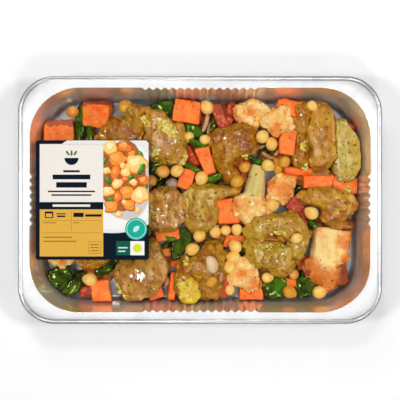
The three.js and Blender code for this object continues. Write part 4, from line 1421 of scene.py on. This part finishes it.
def build_yellow_curds(surface):
    """Small crumbs of curd in patches, where there is food high enough to carry them."""
    tones = (
        ((238, 218, 116), (226, 196, 70)),
        ((222, 190, 58), (204, 166, 34)),
        ((240, 230, 168), (226, 208, 112)),
    )
    finishes = [plain_food_finish(f"yellow_curd_{n}", *pair, 3) for n, pair in enumerate(tones)]
    curds = Heap("yellow_curds", finishes)
    lowest = 12
    draw = random.Random(5)
    for x, y, length, width, turn, count in YELLOW_CURDS:
        lie = Matrix.Rotation(math.radians(turn), 2)
        for _ in range(count):
            reach, angle = math.sqrt(draw.random()), draw.uniform(0, 2 * math.pi)
            along = 0.5 * length * reach * math.cos(angle)
            across = 0.5 * width * reach * math.sin(angle)
            size = draw.choice((1.6, 2.1, 2.7, 3.4, 4.4))
            spin, seed, kind = draw.uniform(0, 360), draw.randrange(1000), draw.choice((0, 0, 1, 2))
            place = Vector(on_tray(x, y)) + lie @ Vector((along, across))
            top, _ = surface.top(*place)
            if top is None or top < lowest:
                continue
            shape = curd_shape((size, 0.8 * size, 0.45 * size), seed)
            curds.add(shape, (*place, top), turned(spin, 20), kind)
    curds.build()


def build_trimmings(surface, pod, bright, meat):
    """Fills the gaps between the pieces with small trimmings, down on the floor."""
    draw = random.Random(11)
    greens = Heap("pod_trimmings", [pod])
    meats = Heap("chicken_trimmings", [meat])
    roots = Heap("sweet_potato_trimmings", [bright])
    pitch = 8.5
    rows, columns = 18, 30
    filled_height = 9
    for row, column in itertools.product(range(rows), range(columns)):
        x = (column - (columns - 1) / 2) * pitch + draw.uniform(-2, 2)
        y = (row - (rows - 1) / 2) * pitch + draw.uniform(-2, 2)
        kind, size, turn = draw.random(), draw.uniform(9, 14), draw.uniform(0, 360)
        seed = draw.randrange(1000)
        if abs(x) > 126 or abs(y) > 74 or (abs(x) > 104 and abs(y) > 52):
            continue
        height, _ = surface.top(x, y)
        if height is not None and height > filled_height:
            continue
        place = (x, y, draw.uniform(5, 8))
        if kind < 0.42:
            shape = strip_shape(1.5 * size, 0.7 * size, 5, seed, 0.3)
            greens.add(shape, place, turned(turn, 15))
        elif kind < 0.8:
            meats.add(lump_shape((1.3 * size, size, 9), seed, 0.5, 0.15), place, turned(turn))
        else:
            roots.add(cut_shape((size, 0.7 * size, 8), seed), place, turned(turn, 10))
    return [greens.build(), meats.build(), roots.build()]


def build_flecks(surface, chicken_surface):
    """Herbs and chilli from the marinade, mostly on the meat."""
    tries = 2600
    lowest, steepest = 14, 0.25  # height and upward slope of the food that holds a fleck
    kept_on_meat, kept_beside = 0.85, 0.14
    chilli_share, spice_share = 0.13, 0.3
    draw = random.Random(29)
    herb = plain_food_finish("herb", (38, 60, 4), (78, 100, 10), 2)
    spice = plain_food_finish("brown_spice", (120, 70, 18), (92, 52, 12), 2)
    chilli = plain_food_finish("chilli", (206, 58, 22), (226, 84, 30), 2, 0.2)
    herbs = Heap("herb_flecks", [herb, spice])
    chillies = Heap("chilli_flecks", [chilli])
    for number in range(tries):
        x, y = draw.uniform(-136, 136), draw.uniform(-88, 88)
        size = draw.choice((0.8, 1.0, 1.2, 1.5, 1.9))
        spin, chance, kind = draw.uniform(0, 360), draw.random(), draw.random()
        height, normal = surface.top(x, y)
        if height is None or height < lowest or normal.z < steepest:
            continue
        meat_height, _ = chicken_surface.top(x, y)
        on_meat = meat_height is not None and abs(meat_height - height) < 0.3
        if chance > (kept_on_meat if on_meat else kept_beside):
            continue
        lie = normal.to_track_quat("Z", "Y").to_matrix()
        lie = lie @ Matrix.Rotation(math.radians(spin), 3, "Z")
        place = (x, y, height + 0.04)
        if kind < chilli_share:
            chillies.add(fleck_shape(1.25 * size, number), place, lie)
        else:
            herbs.add(fleck_shape(size, number), place, lie, 1 if kind > 1 - spice_share else 0)
    herbs.build(smooth=False)
    chillies.build(smooth=False)


# ---- The studio --------------------------------------------------------------------------

# Lamps: place and size in metres, and watts. A wide one overhead, four small ones beside the
# tray's middle, and a key and a fill light from lower down.
LAMPS = {
    "overhead": ((0.0, 0.05, 1.55), 1.8, 2.2),
    "near_back": ((-0.1, 0.62, 1.15), 0.24, 2.4),
    "near_left": ((-0.62, -0.05, 1.15), 0.22, 4.5),
    "near_right": ((0.62, 0.05, 1.15), 0.22, 4.5),
    "near_front": ((0.1, -0.62, 1.15), 0.2, 2.4),
    "key": ((-0.3, 0.8, 0.8), 0.3, 1.2),
    "fill": ((0.8, -0.45, 0.9), 0.4, 1.0),
}
STUDIO_REACH = 3000
STUDIO_FLOOR = -0.02  # just under the tray


def build_studio():
    scene = bpy.context.scene
    scene.world = bpy.data.worlds.new("studio")
    scene.world.use_nodes = True
    background = scene.world.node_tree.nodes["Background"]
    background.inputs["Color"].default_value = (1.0, 1.0, 1.0, 1)
    background.inputs["Strength"].default_value = 0.2
    scene.view_settings.view_transform = "Standard"

    corners = [(x * STUDIO_REACH, y * STUDIO_REACH, STUDIO_FLOOR) for x, y in bar(-1, -1, 2, 2)]
    paper = Finish("studio_floor", Roughness=0.8)
    paper.blend(paper.clouds(60, detail=2), (0.96, 0.96, 0.96, 1), (0.93, 0.93, 0.93, 1))
    floor = new_piece("floor", corners, [(0, 1, 2, 3)], [paper.material])

    for name, (place, size, power) in LAMPS.items():
        light = bpy.data.lights.new(name, "AREA")
        light.shape = "DISK"
        light.size = size
        light.energy = power
        lamp = bpy.data.objects.new(name, light)
        lamp.location = place
        towards = Vector((0, 0, 0.02)) - Vector(place)
        lamp.rotation_euler = towards.to_track_quat("-Z", "Y").to_euler()
        scene.collection.objects.link(lamp)

    camera_data = bpy.data.cameras.new("camera")
    camera_data.sensor_width = SENSOR_WIDTH
    camera_data.lens = SENSOR_WIDTH * CAMERA_HEIGHT / VIEW_WIDTH
    camera = bpy.data.objects.new("camera", camera_data)
    camera.location = (0, 0, (RIM_Z + CAMERA_HEIGHT) * MM)
    scene.collection.objects.link(camera)
    scene.camera = camera


# ---- Putting it together -----------------------------------------------------------------

build_studio()
build_tray()
build_film()
build_label()

meats = {name: chicken_finish("chicken_" + name, *tones) for name, tones in CHICKEN_TONES.items()}
curd = cauliflower_finish("cauliflower", (255, 230, 158), (255, 190, 92), (236, 128, 38))
yellow = cauliflower_finish("cauliflower_yellow", (240, 216, 76), (212, 180, 34), (176, 132, 14))
bright = sweet_potato_finish("sweet_potato_bright", (255, 138, 40), (255, 106, 20))
deep = sweet_potato_finish("sweet_potato_deep", (206, 70, 18), (166, 46, 8))
pod = pod_finish()

chicken = build_soft(
    "chicken", 1.0, 9, meat_relief, lambda node: meats[CHICKEN[node][0]]
)
laid = chicken + build_soft(
    "cauliflower", 0.7, 14, floret_relief,
    lambda node: yellow if node == COOKED_THROUGH else curd,
)
laid += build_soft(
    "sweet_potato", 0.75, 5, knife_cut_relief,
    lambda node: deep if node in DEEP_SWEET_POTATO else bright,
)
laid += build_soft("pod", 0.6, 6, pod_relief, lambda node: pod)
laid += build_trimmings(Surface(laid), pod, bright, meats["brown"])
surface = Surface(laid)
build_bits(surface, bright, deep, pod, meats["brown"])
build_yellow_curds(surface)
build_chickpeas(surface)
build_flecks(surface, Surface(chicken))
